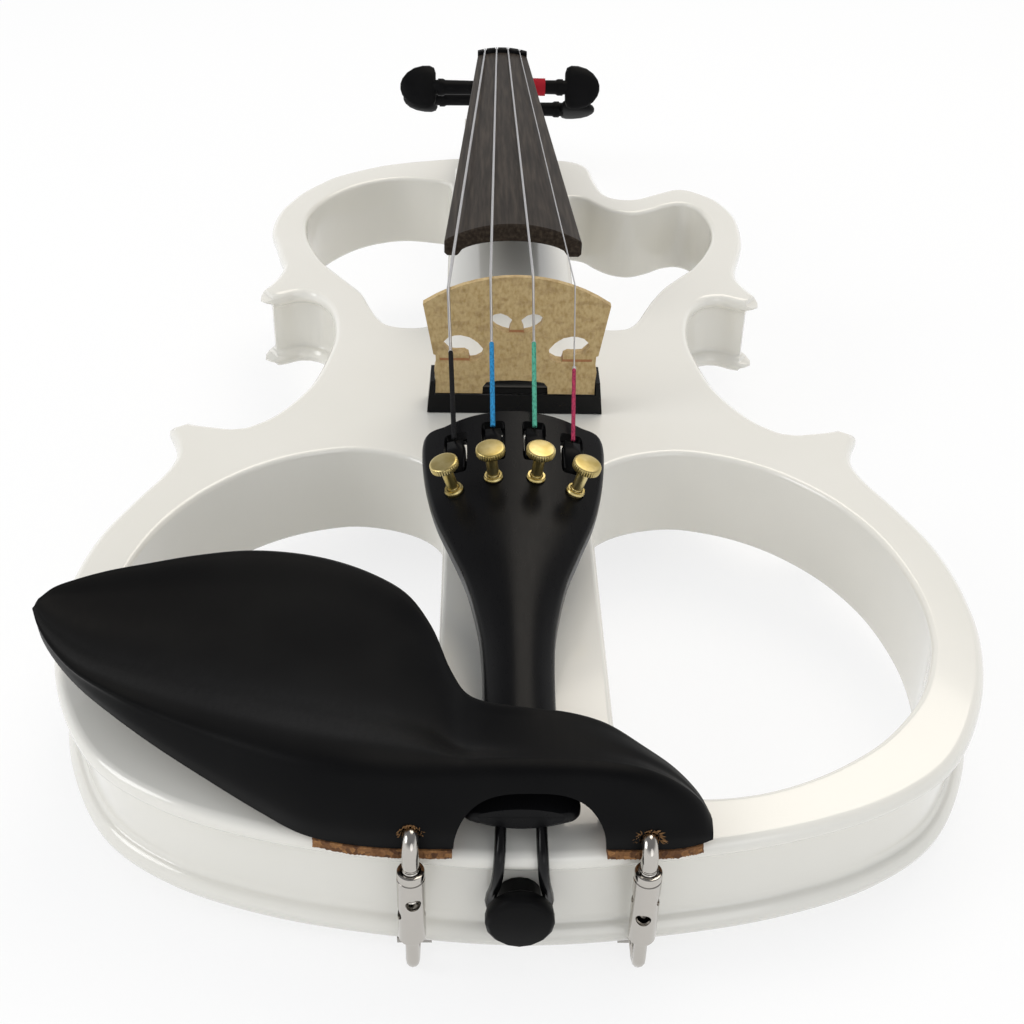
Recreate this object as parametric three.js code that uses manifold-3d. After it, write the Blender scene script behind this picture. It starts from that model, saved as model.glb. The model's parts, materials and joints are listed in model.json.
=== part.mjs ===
// An electric violin: a solid lacquered body with open bouts, a neck with pegbox and scroll, a chin rest,
// fine tuners in the tailpiece and a preamp let into the back. Every size is in millimetres.
// In the instrument's own frame X runs across the strings, Y from the tail to the scroll and Z up from the
// front of the body. The last group lays the instrument on its back, on the chin-rest clamps and the scroll.

import * as THREE from "three";
import { mergeVertices } from "three/addons/utils/BufferGeometryUtils.js";
import Module from "manifold-3d";

const wasm = await Module();
wasm.setup();

// Gaps and overruns that every piece shares.
const weldDistance = 0.001;
const seatGap = 0.25;
const runningGap = 0.3;
const cutOverrun = 3;
const joinDepth = 1;

// How finely round shapes are divided.
const coarseSides = 8;
const plainSides = 12;
const fineSides = 16;

// Body: plan, thickness, flanges and coved rib.
const bodyLength = 361;
const bodyThickness = 26.5;
const lowerBoutWidth = 212;
const waistWidth = 109;
const upperBoutWidth = 166.5;
const outlineStep = 12;
const flangeThickness = 5;
const flangeRound = 1.8;
const flangeUnderRound = 1.2;
const ribInset = 3;
const coveHeight = 2;
const lowerSpineWidth = 37.5;
const upperSpineWidth = 41.6;
const cutoutRound = 1.5;
const cutoutStep = 14;

// Crowned ridge on the body's upper spine.
const ridgeHeight = 6.4;
const ridgeMargin = 1.2;
const ridgeAhead = 9.6;
const ridgeRise = 44;

// Neck root: a tenon in a pocket at the body's upper end.
const tenonWidth = 26;
const tenonLength = 12;
const tenonDepth = 18;

// String stop, measured from the body's upper end, and spread. The string is 325 mm from nut to bridge.
const stopLength = 194.6;
const neckLength = 130.4;
const bridgeStringSpread = 34;
const nutStringSpread = 16;
const stringNutLift = 0.9;

// Fingerboard.
const fingerboardLength = 270;
const nutWidth = 23;
const fingerboardEndWidth = 42;
const fingerboardEdge = 5;
const fingerboardRadius = 42;
const fingerboardCornerShare = 0.22;
const fingerboardEndHeight = 21.5;
const fingerboardNutDrop = 5.5;
const hollowLength = 128;
const hollowRise = 5;
const hollowRim = 4;

// Nut.
const nutThickness = 4.5;
const nutCrest = 1.6;
const nutRound = 1.6;

// Neck handle and heel.
const neckDepthAtNut = 13.5;
const neckDepthAtHeel = 16;
const heelLength = 25;
const heelShortfall = 0.6;

// Pegbox, measured along its own slope from the back of the nut.
const pegboxPitch = 31;
const pegboxLength = 80;
const pegboxEndWidth = 17;
const pegboxDepth = 22;
const pegboxEndDepth = 18.5;
const pegboxRise = 2.6;
const pegboxRiseEnd = 12;
const pegboxFallStart = 34;
const pegboxFall = 5;
const pegboxCheek = 4;
const pegboxFloor = 3.2;
const pegboxLap = 4;
const cavityStart = 4;
const cavityEnd = 72;

// Scroll.
const scrollAlong = 84;
const scrollDrop = 13;
const scrollRadius = 16.5;
const scrollEyeRadius = 4.6;
const scrollStartWidth = 17;
const scrollEyeWidth = 34;
const scrollHalfTurns = 5;
const scrollSteps = 9;

// Pegs: distance from the back of the nut and depth below the pegbox's top edge.
const pegPlaces = {
  g: { along: 15.9, depth: 7.6, side: -1, turn: 50 },
  e: { along: 29.7, depth: 3.6, side: 1, turn: 57 },
  d: { along: 45.8, depth: 6.3, side: -1, turn: 127 },
  a: { along: 61, depth: 7.7, side: 1, turn: 143 },
};
const pegTipRadius = 3;
const pegShaftRadius = 3.5;
const pegTipLength = 13.5;
const pegCollarStation = 27;
const pegCollarRadius = 4.1;
const pegCollarWidth = 3.4;
const pegHeadStation = 31.7;
const pegHeadLength = 17;
const pegHeadWidth = 21.5;
const pegHeadThickness = 8.6;
const pegHeadDish = 0.34;
const silkWrapLength = 5.5;
const silkWrapTurns = 3;
const silkWrapThickness = 0.5;

// Pickup bar and bridge.
const barWidth = 49.2;
const barDepth = 9.4;
const barBehind = 2;
const barHeight = 5.8;
const barTaper = 1;
const barLipWidth = 1.1;
const barLipHeight = 4.1;
const piezoLength = 43;
const piezoWidth = 3;
const piezoHeight = 1.1;
const bridgeHeight = 34.8;
const bridgeTopWidth = 50.8;
const bridgeFootWidth = 44.4;
const bridgeTopRadius = 44;
const bridgeFootThickness = 4.6;
const bridgeTopThickness = 1.5;

// Tailpiece.
const tailpieceStation = 3.6;
const tailShift = 1.6;
const tailpieceLength = 119.4;
const tailpieceWidth = 45;
const tailpieceTailHeight = 12;
const tailpieceSink = 2.6;
const tailpieceSinkShare = 0.14;
const tailpieceHeadHeight = 25;
const tailpieceCrown = 5.3;
const tailpieceThickness = 8.2;
const tailpieceHeadThickness = 4.3;

// Fine tuners, measured from each string's hook.
const tunerOuterSpread = 28.4;
const tunerInnerSpread = 10;
const tunerOuterHook = 111.5;
const tunerInnerHook = 114;
const slotWidth = 4.8;
const slotAhead = 5;
const slotBehind = 10;
const leverWidth = 3.8;
const leverProud = 0.6;
const leverNose = 1.4;
const leverTaper = 0.6;
const leverPivotBehind = 5.5;
const leverPivotDepth = 2.3;
const leverPinRadius = 1.1;
const leverPinLength = 7;
const leverArmThickness = 1.8;
const leverArmDepth = 6.6;
const screwBehind = 16.6;
const screwShankRadius = 1.4;
const screwShankAbove = 7;
const screwHeadRadius = 3.45;
const screwHeadThickness = 1.7;
const screwHeadBevel = 0.35;
const knurlDepth = 0.28;
const knurlTeeth = 18;
const sleeveRadius = 2.05;
const sleeveFlangeRadius = 2.3;
const sleeveFlangeHeight = 1.2;

// End button and tail cord.
const buttonHeight = 12.4;
const buttonShaftRadius = 3.6;
const buttonShaftLength = 20;
const buttonNeckRadius = 4.25;
const buttonNeckLength = 4.4;
const buttonHeadRadius = 6.7;
const buttonHeadThickness = 4.2;
const buttonHeadRound = 1;
const cordRadius = 1.1;

// Chin rest: reach to the left of the tail's middle, depth and height above the body's front.
const chinReach = 103;
const chinDepth = 77;
const chinHeight = 18.5;
const chinThickness = 5.6;
const chinEdge = 4;
const chinFootDepth = 14;
const chinFootReachShare = 0.398;
const chinFootEndShare = 0.3204;
const chinFootEndDepth = 3.5;
const archHalfWidth = 14.4;
const archHeight = 14;
const archRise = 3.4;
const archLength = 44;
const corkThickness = 2.1;
const corkInset = 0.3;

// Chin-rest clamps.
const clampSpread = 44.6;
const clampStandoff = 2.5;
const hookRadius = 1.65;
const hookHeightLeft = 6.4;
const hookHeightRight = 5.2;
const hookBend = 2.7;
const hookReach = 8.6;
const hookLowerEnd = 8;
const barrelTop = 0.3;
const barrelLength = 18.7;
const barrelRadius = 2.7;
const barrelBoreRadius = 1.95;
const barrelHoleRadius = 1.5;
const barrelHoleShare = 0.38;
const barrelHoleStep = 4;
const barrelRim = 0.5;
const footRodRadius = 1.35;
const footRodTop = 11;
const footBend = 2.6;
const footPadLength = 11;
const footPadWidth = 7;
const footPadThickness = 1.8;
const footPadStart = 4.4;
const footCorkThickness = 0.8;

// Preamp in the back of the waist.
const housingAhead = 13.6;
const housingWidth = 88;
const housingLength = 56;
const housingWall = 1.6;
const housingDepth = 20.4;
const housingCeiling = 4;
const panelMargin = 3;
const panelThickness = 1.6;
const batteryLength = 48.5;
const batteryWidth = 26.5;
const batteryHeight = 17.5;
const batteryBayWidth = 30;
const snapRadius = 2.9;
const snapSpread = 12.7;
const snapHeight = 2.6;
const doorGap = 0.4;
const doorMargin = 1.4;
const doorTabLength = 3.4;
const doorTabWidth = 12;
const doorTabDrop = 0.96;
const knobRadius = 6.5;
const knobHeight = 7;
const knobShaftRadius = 3;
const knobFlutes = 14;
const knobFluteDepth = 0.35;
const knobRim = 0.7;
const controlSpacing = 22;
const controlRow = 11;
const jackRow = 16;
const jackBoreRadius = 1.85;
const jackCollarRadius = 4.5;
const jackCollarHeight = 1.6;
const jackNeckRadius = 3.1;
const boardThickness = 1.6;
const boardDrop = 13;
const potRadius = 6;
const jackBodyWidth = 8;
const switchTravel = 3;
const switchCapLength = 3.4;
const switchCapWidth = 3;
const switchCapHeight = 2.2;

// Strings: radius of the wire and of the silk at the tail end, and where the silk stops before the bridge.
const stringKinds = {
  g: { order: -1.5, wire: 0.42, silk: 0.62, silkStop: 24 },
  d: { order: -0.5, wire: 0.37, silk: 0.6, silkStop: 24 },
  a: { order: 0.5, wire: 0.34, silk: 0.58, silkStop: 24 },
  e: { order: 1.5, wire: 0.2, silk: 0.5, silkStop: 30 },
};
const stringSpaces = 3;
const coilTurns = 2;
const coilSteps = 6;
const coilPitch = 1.3;
const coilStart = 1.9;

// Outlines, as shares of half the width of the bout that they belong to and of the body's length.
const lowerBoutShares = [
  [0.2453, 0.0061], [0.4906, 0.0202], [0.6887, 0.0424], [0.8302, 0.0734], [0.934, 0.1247],
  [0.9906, 0.1828], [1, 0.2327], [0.9764, 0.2867], [0.9245, 0.331], [0.8726, 0.3684],
  [0.8585, 0.3906], [0.8726, 0.41], [0.8962, 0.4266], [0.8991, 0.433], [0.8868, 0.4377],
  [0.8623, 0.4391],
];
// The waist's two ends, as shares of the way from half the waist to half the bout beside it.
const lowerWaistShares = [
  [0.654, 0.436], [0.5228, 0.4321], [0.4561, 0.4307], [0.3937, 0.4324], [0.3355, 0.4385],
  [0.272, 0.4471], [0.1863, 0.4662], [0.1228, 0.4853], [0.0741, 0.505], [0.0116, 0.5601],
  [0.0042, 0.5878],
];
const upperWaistShares = [
  [0.0626, 0.6222], [0.163, 0.6457], [0.3374, 0.662], [0.508, 0.6643], [0.6786, 0.6571],
];
const upperCornerShares = [
  [0.9441, 0.6543], [0.9682, 0.6582], [0.9718, 0.6654], [0.9562, 0.6742], [0.9321, 0.6889],
];
const upperLeftShares = [
  [0.9165, 0.7044], [0.9117, 0.7202], [0.9321, 0.7377], [0.9706, 0.7737], [0.9934, 0.7922],
  [1.001, 0.8183], [0.985, 0.851], [0.9562, 0.8717], [0.9213, 0.8931], [0.8637, 0.9152],
  [0.7916, 0.938], [0.6799, 0.9587], [0.573, 0.9742], [0.4637, 0.9839], [0.352, 0.9909],
  [0.2402, 0.9972],
];
const upperRightShares = [
  [0.9153, 0.705], [0.9177, 0.7202], [0.9285, 0.7341], [0.9706, 0.7706], [0.9874, 0.7892],
  [0.9994, 0.8227], [0.9958, 0.8504], [0.967, 0.8759], [0.9321, 0.8939], [0.8817, 0.9069],
  [0.824, 0.9175], [0.764, 0.9194], [0.7039, 0.9119], [0.6318, 0.9003], [0.5718, 0.8917],
  [0.5261, 0.8898], [0.4829, 0.8925], [0.4444, 0.9019], [0.4156, 0.9271], [0.4012, 0.9493],
  [0.3916, 0.9695], [0.3664, 0.9839], [0.3171, 0.9925], [0.2402, 0.9972],
];
const lowerCutoutShares = [
  [0.216, 0.3767], [0.2915, 0.392], [0.4113, 0.4], [0.5009, 0.3953], [0.5802, 0.3861],
  [0.6575, 0.3715], [0.734, 0.3499], [0.7934, 0.3258], [0.8443, 0.2947], [0.8764, 0.2593],
  [0.8906, 0.2233], [0.883, 0.1867], [0.8547, 0.1571], [0.8142, 0.131], [0.7604, 0.1091],
  [0.6972, 0.0898], [0.6264, 0.0745], [0.5585, 0.0629], [0.4745, 0.0526], [0.3962, 0.0471],
  [0.316, 0.0457], [0.2311, 0.0512],
];
const lowerSpineShares = [0.0665, 0.0942, 0.2, 0.3047, 0.3545];
const upperLeftCutoutShares = [
  [0.3339, 0.5997], [0.4192, 0.5992], [0.4673, 0.6044], [0.5045, 0.6175], [0.5393, 0.6377],
  [0.5802, 0.6648], [0.6294, 0.6834], [0.6907, 0.7044], [0.7556, 0.7283], [0.8036, 0.7551],
  [0.836, 0.7795], [0.8553, 0.8047], [0.8589, 0.8307], [0.8336, 0.8579], [0.7772, 0.8842],
  [0.6919, 0.9102], [0.5958, 0.9271], [0.4745, 0.9363], [0.3435, 0.9324], [0.2679, 0.9252],
];
const upperRightCutoutShares = [
  [0.3411, 0.5997], [0.424, 0.6011], [0.4709, 0.6133], [0.5093, 0.6343], [0.5502, 0.6573],
  [0.603, 0.6812], [0.6679, 0.7025], [0.7327, 0.7224], [0.7796, 0.7424], [0.8168, 0.762],
  [0.8529, 0.7873], [0.8709, 0.8191], [0.8601, 0.8476], [0.8288, 0.8698], [0.776, 0.8798],
  [0.7087, 0.8753], [0.6342, 0.862], [0.5441, 0.8529], [0.4649, 0.8582], [0.4036, 0.8709],
  [0.3411, 0.8892], [0.2703, 0.8927],
];
const upperSpineShares = [0.8726, 0.8033, 0.7313, 0.6648, 0.626, 0.6081];
const upperSpineFlareShares = [1, 1, 1, 1, 1.03, 1.12];

// Tailpiece sections: place along its length, half width, crown, centre and edge thickness.
const tailpieceSectionShares = [
  [0, 0.36, 0.25, 0.62, 0.2],
  [0.009, 0.47, 0.4, 0.78, 0.26],
  [0.025, 0.5, 0.48, 0.86, 0.34],
  [0.053, 0.475, 0.52, 0.92, 0.46],
  [0.1, 0.385, 0.56, 0.97, 0.6],
  [0.165, 0.335, 0.6, 1, 0.58],
  [0.27, 0.33, 0.64, 1, 0.56],
  [0.37, 0.352, 0.64, 0.97, 0.54],
  [0.455, 0.415, 0.68, 0.92, 0.51],
  [0.53, 0.503, 0.72, 0.85, 0.49],
  [0.615, 0.65, 0.79, 0.75, 0.46],
  [0.725, 0.84, 0.9, 0.62, 0.42],
  [0.84, 0.955, 0.98, 0.55, 0.4],
  [0.925, 0.995, 1, 0.52, 0.4],
  [0.96, 0.985, 0.97, 0.52, 0.4],
  [0.98, 0.78, 0.61, 0.5, 0.4],
  [0.994, 0.49, 0.24, 0.46, 0.4],
  [1, 0.2, 0.04, 0.42, 0.4],
];

// Chin rest sections: place across, front edge, front edge's height, crest, crest's height, dish height,
// far edge, far edge's height and depth of the foot.
const chinSectionShares = [
  [-1, 0.675, 0.811, 0.662, 1, 0.973, 0.727, 0.946, 0.1],
  [-0.976, 0.604, 0.768, 0.591, 0.995, 0.908, 0.773, 0.973, 0.1],
  [-0.932, 0.519, 0.714, 0.5, 0.984, 0.822, 0.818, 0.973, 0.12],
  [-0.874, 0.435, 0.649, 0.416, 0.962, 0.735, 0.864, 0.962, 0.14],
  [-0.796, 0.352, 0.557, 0.357, 0.908, 0.659, 0.909, 0.941, 0.17],
  [-0.709, 0.272, 0.449, 0.305, 0.865, 0.605, 0.955, 0.919, 0.2],
  [-0.602, 0.186, 0.314, 0.24, 0.865, 0.573, 0.994, 0.886, 0.25],
  [-0.505, 0.108, 0.216, 0.182, 0.908, 0.562, 1, 0.843, 0.4],
  [-0.417, 0.044, 0.151, 0.136, 0.946, 0.573, 0.981, 0.8, 0.8],
  [-0.33, 0.014, 0.141, 0.104, 0.973, 0.595, 0.929, 0.768, 1],
  [-0.252, 0.002, 0.141, 0.091, 0.973, 0.627, 0.844, 0.746, 1],
  [-0.194, 0, 0.141, 0.086, 0.978, 0.67, 0.695, 0.746, 1],
  [-0.15, 0, 0.141, 0.083, 0.984, 0.724, 0.494, 0.778, 1],
  [-0.117, 0, 0.141, 0.081, 0.984, 0.811, 0.383, 0.843, 1],
  [-0.078, 0, 0.141, 0.081, 0.995, 0.897, 0.331, 0.919, 1],
  [0, 0, 0.141, 0.081, 1, 0.973, 0.292, 0.984, 1],
  [0.078, 0, 0.141, 0.082, 0.989, 0.973, 0.283, 0.951, 1],
  [0.146, 0, 0.141, 0.084, 0.951, 0.919, 0.266, 0.865, 0.95],
  [0.214, 0, 0.141, 0.086, 0.865, 0.822, 0.218, 0.73, 0.7],
  [0.272, 0.004, 0.141, 0.086, 0.692, 0.649, 0.175, 0.584, 0.48],
  [0.316, 0.02, 0.141, 0.081, 0.476, 0.432, 0.13, 0.405, 0.28],
  [0.338, 0.034, 0.141, 0.073, 0.27, 0.249, 0.097, 0.238, 0.14],
];

// One leg of the tail cord, as shares of the loop's radius, of the tailpiece's distance from the body's
// edge and of the button's depth below the front.
const cordShares = [
  [0.6549, 3.0556, 0.5806], [0.6903, 0.9444, 0.2823], [0.708, 0.1111, 0.1452],
  [0.7345, -0.3056, 0.0161], [0.7611, -0.4167, -0.1774], [0.8142, -0.4167, -0.4032],
  [0.885, -0.25, -0.5968], [0.9558, 0.0556, -0.8065],
];

// Thumb piece of a peg: place along it, width and thickness.
const pegHeadShares = [
  [0, 0.66, 0.7],
  [0.05, 0.9, 0.88],
  [0.18, 1, 1],
  [0.38, 0.99, 1],
  [0.62, 0.88, 0.93],
  [0.82, 0.66, 0.78],
  [0.95, 0.38, 0.52],
  [1, 0.14, 0.24],
];

// The half outline of the bridge below its top arc, as shares of half its top width and of its height.
const bridgeSideShares = [
  [1, 0.766], [0.91, 0.34], [0.886, 0.335], [0.882, 0.25], [0.9, 0.2], [0.888, 0.1], [0.89, 0],
];
const bridgeArchShares = [
  [0.36, 0], [0.355, 0.06], [0.315, 0.1], [0.18, 0.115], [0, 0.12],
];
const kidneyShares = [
  [0.8, 0.415], [0.785, 0.45], [0.73, 0.49], [0.66, 0.505], [0.6, 0.508], [0.507, 0.492],
  [0.46, 0.47], [0.415, 0.446], [0.358, 0.396], [0.352, 0.35], [0.37, 0.312], [0.437, 0.282],
  [0.5, 0.277], [0.515, 0.33], [0.56, 0.349], [0.65, 0.346], [0.72, 0.352],
];
// One of the heart's two lobes, with the tongue of wood between them.
const heartShares = [
  [0.05, 0.645], [0.107, 0.68], [0.175, 0.698], [0.24, 0.688], [0.288, 0.66], [0.262, 0.6],
  [0.216, 0.568], [0.147, 0.544], [0.08, 0.531], [0.073, 0.567], [0.05, 0.605],
];

const degrees = THREE.MathUtils.degToRad;
const lerp = THREE.MathUtils.lerp;

const bridgeStation = bodyLength - stopLength;
const nutStation = bodyLength + neckLength;
const ridgeStart = bridgeStation + ridgeAhead;
const housingStation = bridgeStation + housingAhead;
const boardEndStation = nutStation - fingerboardLength;
const cordLoopRadius = buttonNeckRadius + cordRadius + runningGap;
const halfBout = lowerBoutWidth / 2;
const halfUpper = upperBoutWidth / 2;

// Height of the fingerboard's glue face at a place along the body.
function boardUnderside(station) {
  const share = (station - boardEndStation) / fingerboardLength;
  return lerp(fingerboardEndHeight, -fingerboardNutDrop, share);
}

function boardWidth(station) {
  return lerp(fingerboardEndWidth, nutWidth, (station - boardEndStation) / fingerboardLength);
}

// Drop of an arc below its crest at a distance from its middle.
function arcDrop(radius, offset) {
  return radius - Math.sqrt(radius * radius - offset * offset);
}

function point(x, y, z) {
  return new THREE.Vector3(x, y, z);
}

// A closed geometry as a solid that can be joined and cut.
function solid(geometry) {
  const bare = geometry.index ? geometry.toNonIndexed() : geometry.clone();
  bare.deleteAttribute("normal");
  bare.deleteAttribute("uv");
  const merged = mergeVertices(bare, weldDistance);
  const corners = merged.index.array;
  const kept = [];
  for (let i = 0; i < corners.length; i += 3) {
    const [a, b, c] = [corners[i], corners[i + 1], corners[i + 2]];
    if (a !== b && b !== c && c !== a) kept.push(a, b, c);
  }
  const mesh = new wasm.Mesh({
    numProp: 3,
    vertProperties: merged.attributes.position.array,
    triVerts: new Uint32Array(kept),
  });
  return new wasm.Manifold(mesh);
}

function geometryOf(body) {
  const mesh = body.getMesh();
  const geometry = new THREE.BufferGeometry();
  geometry.setAttribute("position", new THREE.BufferAttribute(mesh.vertProperties, 3));
  geometry.setIndex(new THREE.BufferAttribute(mesh.triVerts, 1));
  const flat = geometry.toNonIndexed();
  flat.computeVertexNormals();
  return flat;
}

function joined(geometries) {
  return geometries.map(solid).reduce((whole, next) => whole.add(next));
}

function cut(body, geometries) {
  return geometries.map(solid).reduce((rest, tool) => rest.subtract(tool), body);
}

// A skin over rings with the same number of points, closed by a flat cap at each end.
function skin(rings) {
  const count = rings[0].length;
  const positions = [];
  const face = (a, b, c) => positions.push(...a.toArray(), ...b.toArray(), ...c.toArray());
  for (let i = 0; i + 1 < rings.length; i += 1) {
    for (let j = 0; j < count; j += 1) {
      const k = (j + 1) % count;
      face(rings[i][j], rings[i][k], rings[i + 1][k]);
      face(rings[i][j], rings[i + 1][k], rings[i + 1][j]);
    }
  }
  const first = rings[0];
  const last = rings[rings.length - 1];
  capTriangles(first).forEach(([a, b, c]) => face(first[c], first[b], first[a]));
  capTriangles(last).forEach(([a, b, c]) => face(last[a], last[b], last[c]));
  const geometry = new THREE.BufferGeometry();
  geometry.setAttribute("position", new THREE.Float32BufferAttribute(positions, 3));
  return signedVolume(positions) < 0 ? turnedOut(positions) : geometry;
}

function turnedOut(positions) {
  const swapped = [];
  for (let i = 0; i < positions.length; i += 9) {
    swapped.push(...positions.slice(i, i + 3));
    swapped.push(...positions.slice(i + 6, i + 9));
    swapped.push(...positions.slice(i + 3, i + 6));
  }
  const geometry = new THREE.BufferGeometry();
  geometry.setAttribute("position", new THREE.Float32BufferAttribute(swapped, 3));
  return geometry;
}

function signedVolume(positions) {
  let total = 0;
  const [a, b, c] = [point(0, 0, 0), point(0, 0, 0), point(0, 0, 0)];
  for (let i = 0; i < positions.length; i += 9) {
    a.fromArray(positions, i);
    b.fromArray(positions, i + 3);
    c.fromArray(positions, i + 6);
    total += a.dot(b.cross(c));
  }
  return total;
}

// Triangles over a ring that lies in one plane, seen along the ring's own normal.
function capTriangles(ring) {
  const normal = point(0, 0, 0);
  const ahead = point(0, 0, 0);
  ring.forEach((here, i) => {
    const next = ring[(i + 1) % ring.length];
    normal.add(ahead.crossVectors(here, next));
  });
  normal.normalize();
  const across = Math.abs(normal.x) < Math.SQRT1_2 ? point(1, 0, 0) : point(0, 1, 0);
  const u = point(0, 0, 0).crossVectors(normal, across).normalize();
  const v = point(0, 0, 0).crossVectors(normal, u);
  const flat = ring.map((here) => new THREE.Vector2(here.dot(u), here.dot(v)));
  const clockwise = THREE.ShapeUtils.isClockWise(flat);
  const faces = THREE.ShapeUtils.triangulateShape(flat, []);
  return clockwise ? faces.map(([a, b, c]) => [a, c, b]) : faces;
}

// A smooth closed loop through hand-placed points; every point is kept, and long gaps are divided.
function smoothLoop(points, step) {
  const placed = points.map(([x, y]) => point(x, y, 0));
  const curve = new THREE.CatmullRomCurve3(placed, true, "centripetal");
  const loop = [];
  placed.forEach((here, i) => {
    const gap = here.distanceTo(placed[(i + 1) % placed.length]);
    const parts = Math.max(1, Math.round(gap / step));
    for (let j = 0; j < parts; j += 1) {
      const at = curve.getPoint((i + j / parts) / placed.length);
      loop.push(new THREE.Vector2(at.x, at.y));
    }
  });
  return loop;
}

// Distance from a point to the nearest edge of a loop.
function distanceToLoop(here, loop) {
  let nearest = Infinity;
  loop.forEach((start, i) => {
    const end = loop[(i + 1) % loop.length];
    const edge = end.clone().sub(start);
    const away = here.clone().sub(start);
    const share = THREE.MathUtils.clamp(away.dot(edge) / edge.lengthSq(), 0, 1);
    nearest = Math.min(nearest, away.sub(edge.multiplyScalar(share)).length());
  });
  return nearest;
}

// A loop moved in (or, with a negative inset, out) by the same distance all round. A point whose place
// would come too near another edge closes up on the nearest point that keeps the distance.
function insetLoop(loop, inset) {
  if (inset === 0) return loop;
  const turn = THREE.ShapeUtils.isClockWise(loop) ? -1 : 1;
  const count = loop.length;
  const moved = loop.map((here, i) => {
    const back = here.clone().sub(loop[(i + count - 1) % count]).normalize();
    const on = loop[(i + 1) % count].clone().sub(here).normalize();
    const along = back.add(on).normalize();
    const inward = new THREE.Vector2(-along.y, along.x).multiplyScalar(turn * inset);
    return here.clone().add(inward);
  });
  const keptShare = 0.97;
  const good = moved.map((here) => distanceToLoop(here, loop) >= Math.abs(inset) * keptShare);
  return moved.map((here, i) => {
    if (good[i]) return here;
    for (let step = 1; step < count; step += 1) {
      const before = (i - step + count) % count;
      if (good[before]) return moved[before];
      const after = (i + step) % count;
      if (good[after]) return moved[after];
    }
    return here;
  });
}

// A slab whose wall follows a loop, moved in by the inset of each level.
function levelledSlab(loop, levels) {
  return skin(levels.map(([inset, height]) => {
    return insetLoop(loop, inset).map((here) => point(here.x, here.y, height));
  }));
}

// Insets and heights of a rounded edge that turns from a flat face at a height to the wall below it.
function roundedEdge(radius, height, direction, steps) {
  const levels = [];
  for (let i = 0; i <= steps; i += 1) {
    const angle = (Math.PI / 2) * (i / steps);
    const inset = radius * (1 - Math.sin(angle));
    levels.push([inset, height + direction * radius * (1 - Math.cos(angle))]);
  }
  return levels;
}

function box(width, length, height) {
  return new THREE.BoxGeometry(width, length, height);
}

// A closed outline in the YZ plane, given as pairs of Y and Z, as wide as stated along X about its middle.
function sideSlab(pairs, width) {
  const rings = [-width / 2, width / 2].map((x) => pairs.map(([y, z]) => point(x, y, z)));
  return skin(rings);
}

// A route whose knots are its steps, so that a tube keeps every bend where it is placed.
class KnotRoute extends THREE.Curve {
  constructor(knots) {
    super();
    this.knots = knots;
  }

  getPoint(share, target = new THREE.Vector3()) {
    const place = share * (this.knots.length - 1);
    const index = Math.min(Math.floor(place), this.knots.length - 2);
    return target.lerpVectors(this.knots[index], this.knots[index + 1], place - index);
  }

  getPointAt(share, target) {
    return this.getPoint(share, target);
  }

  getTangent(share, target = new THREE.Vector3()) {
    const last = this.knots.length - 1;
    const index = Math.round(share * last);
    const before = this.knots[Math.max(index - 1, 0)];
    const after = this.knots[Math.min(index + 1, last)];
    const here = this.knots[index];
    const arriving = here.clone().sub(before).normalize();
    const leaving = after.clone().sub(here).normalize();
    return target.copy(arriving).add(leaving).normalize();
  }

  getTangentAt(share, target) {
    return this.getTangent(share, target);
  }
}

// A round bar or cord of one radius along a list of knots.
function tube(knots, radius, sides) {
  const section = new THREE.Shape();
  for (let i = 0; i < sides; i += 1) {
    const angle = (i / sides) * Math.PI * 2;
    const [x, y] = [radius * Math.cos(angle), radius * Math.sin(angle)];
    if (i === 0) section.moveTo(x, y);
    else section.lineTo(x, y);
  }
  section.closePath();
  return new THREE.ExtrudeGeometry(section, {
    steps: knots.length - 1,
    bevelEnabled: false,
    curveSegments: 1,
    extrudePath: new KnotRoute(knots),
  });
}

// A quarter bend between two directions, as knots round a centre.
function bendKnots(centre, from, to, radius, steps) {
  const knots = [];
  for (let i = 0; i <= steps; i += 1) {
    const angle = (Math.PI / 2) * (i / steps);
    const arm = from.clone().multiplyScalar(Math.cos(angle));
    arm.add(to.clone().multiplyScalar(Math.sin(angle)));
    knots.push(centre.clone().add(arm.multiplyScalar(radius)));
  }
  return knots;
}

// A turned piece about the Y axis, from pairs of radius and place along the axis.
function turned(pairs, sides) {
  return new THREE.LatheGeometry(pairs.map(([r, y]) => new THREE.Vector2(r, y)), sides);
}

function standing(geometry) {
  return geometry.rotateX(Math.PI / 2);
}

// A round rod along Y between two places.
function rod(radius, start, end, sides) {
  return turned([[0, start], [radius, start], [radius, end], [0, end]], sides);
}

// A section with a flat top and a full, rounded back.
function backedSection(width, depth, fullness, steps) {
  const section = [];
  for (let i = 0; i <= steps; i += 1) {
    const angle = Math.PI * (i / steps);
    const side = Math.sign(Math.cos(angle)) * Math.abs(Math.cos(angle)) ** fullness;
    section.push([(width / 2) * side, -depth * Math.sin(angle) ** fullness]);
  }
  return section;
}

// The plan of the body: the right side from the tail up, then the left side back down.
function bodyPlan() {
  const at = (half, inner = 0) => ([x, y]) => [lerp(inner, half, x), y * bodyLength];
  const common = [
    ...lowerBoutShares.map(at(halfBout)),
    ...lowerWaistShares.map(at(halfBout, waistWidth / 2)),
    ...upperWaistShares.map(at(halfUpper, waistWidth / 2)),
    ...upperCornerShares.map(at(halfUpper)),
  ];
  const right = [...common, ...upperRightShares.map(at(halfUpper))];
  const left = [...common, ...upperLeftShares.map(at(halfUpper))];
  const mirrored = left.reverse().map(([x, y]) => [-x, y]);
  return smoothLoop([[0, 0], ...right, [0, bodyLength], ...mirrored], outlineStep);
}

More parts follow.
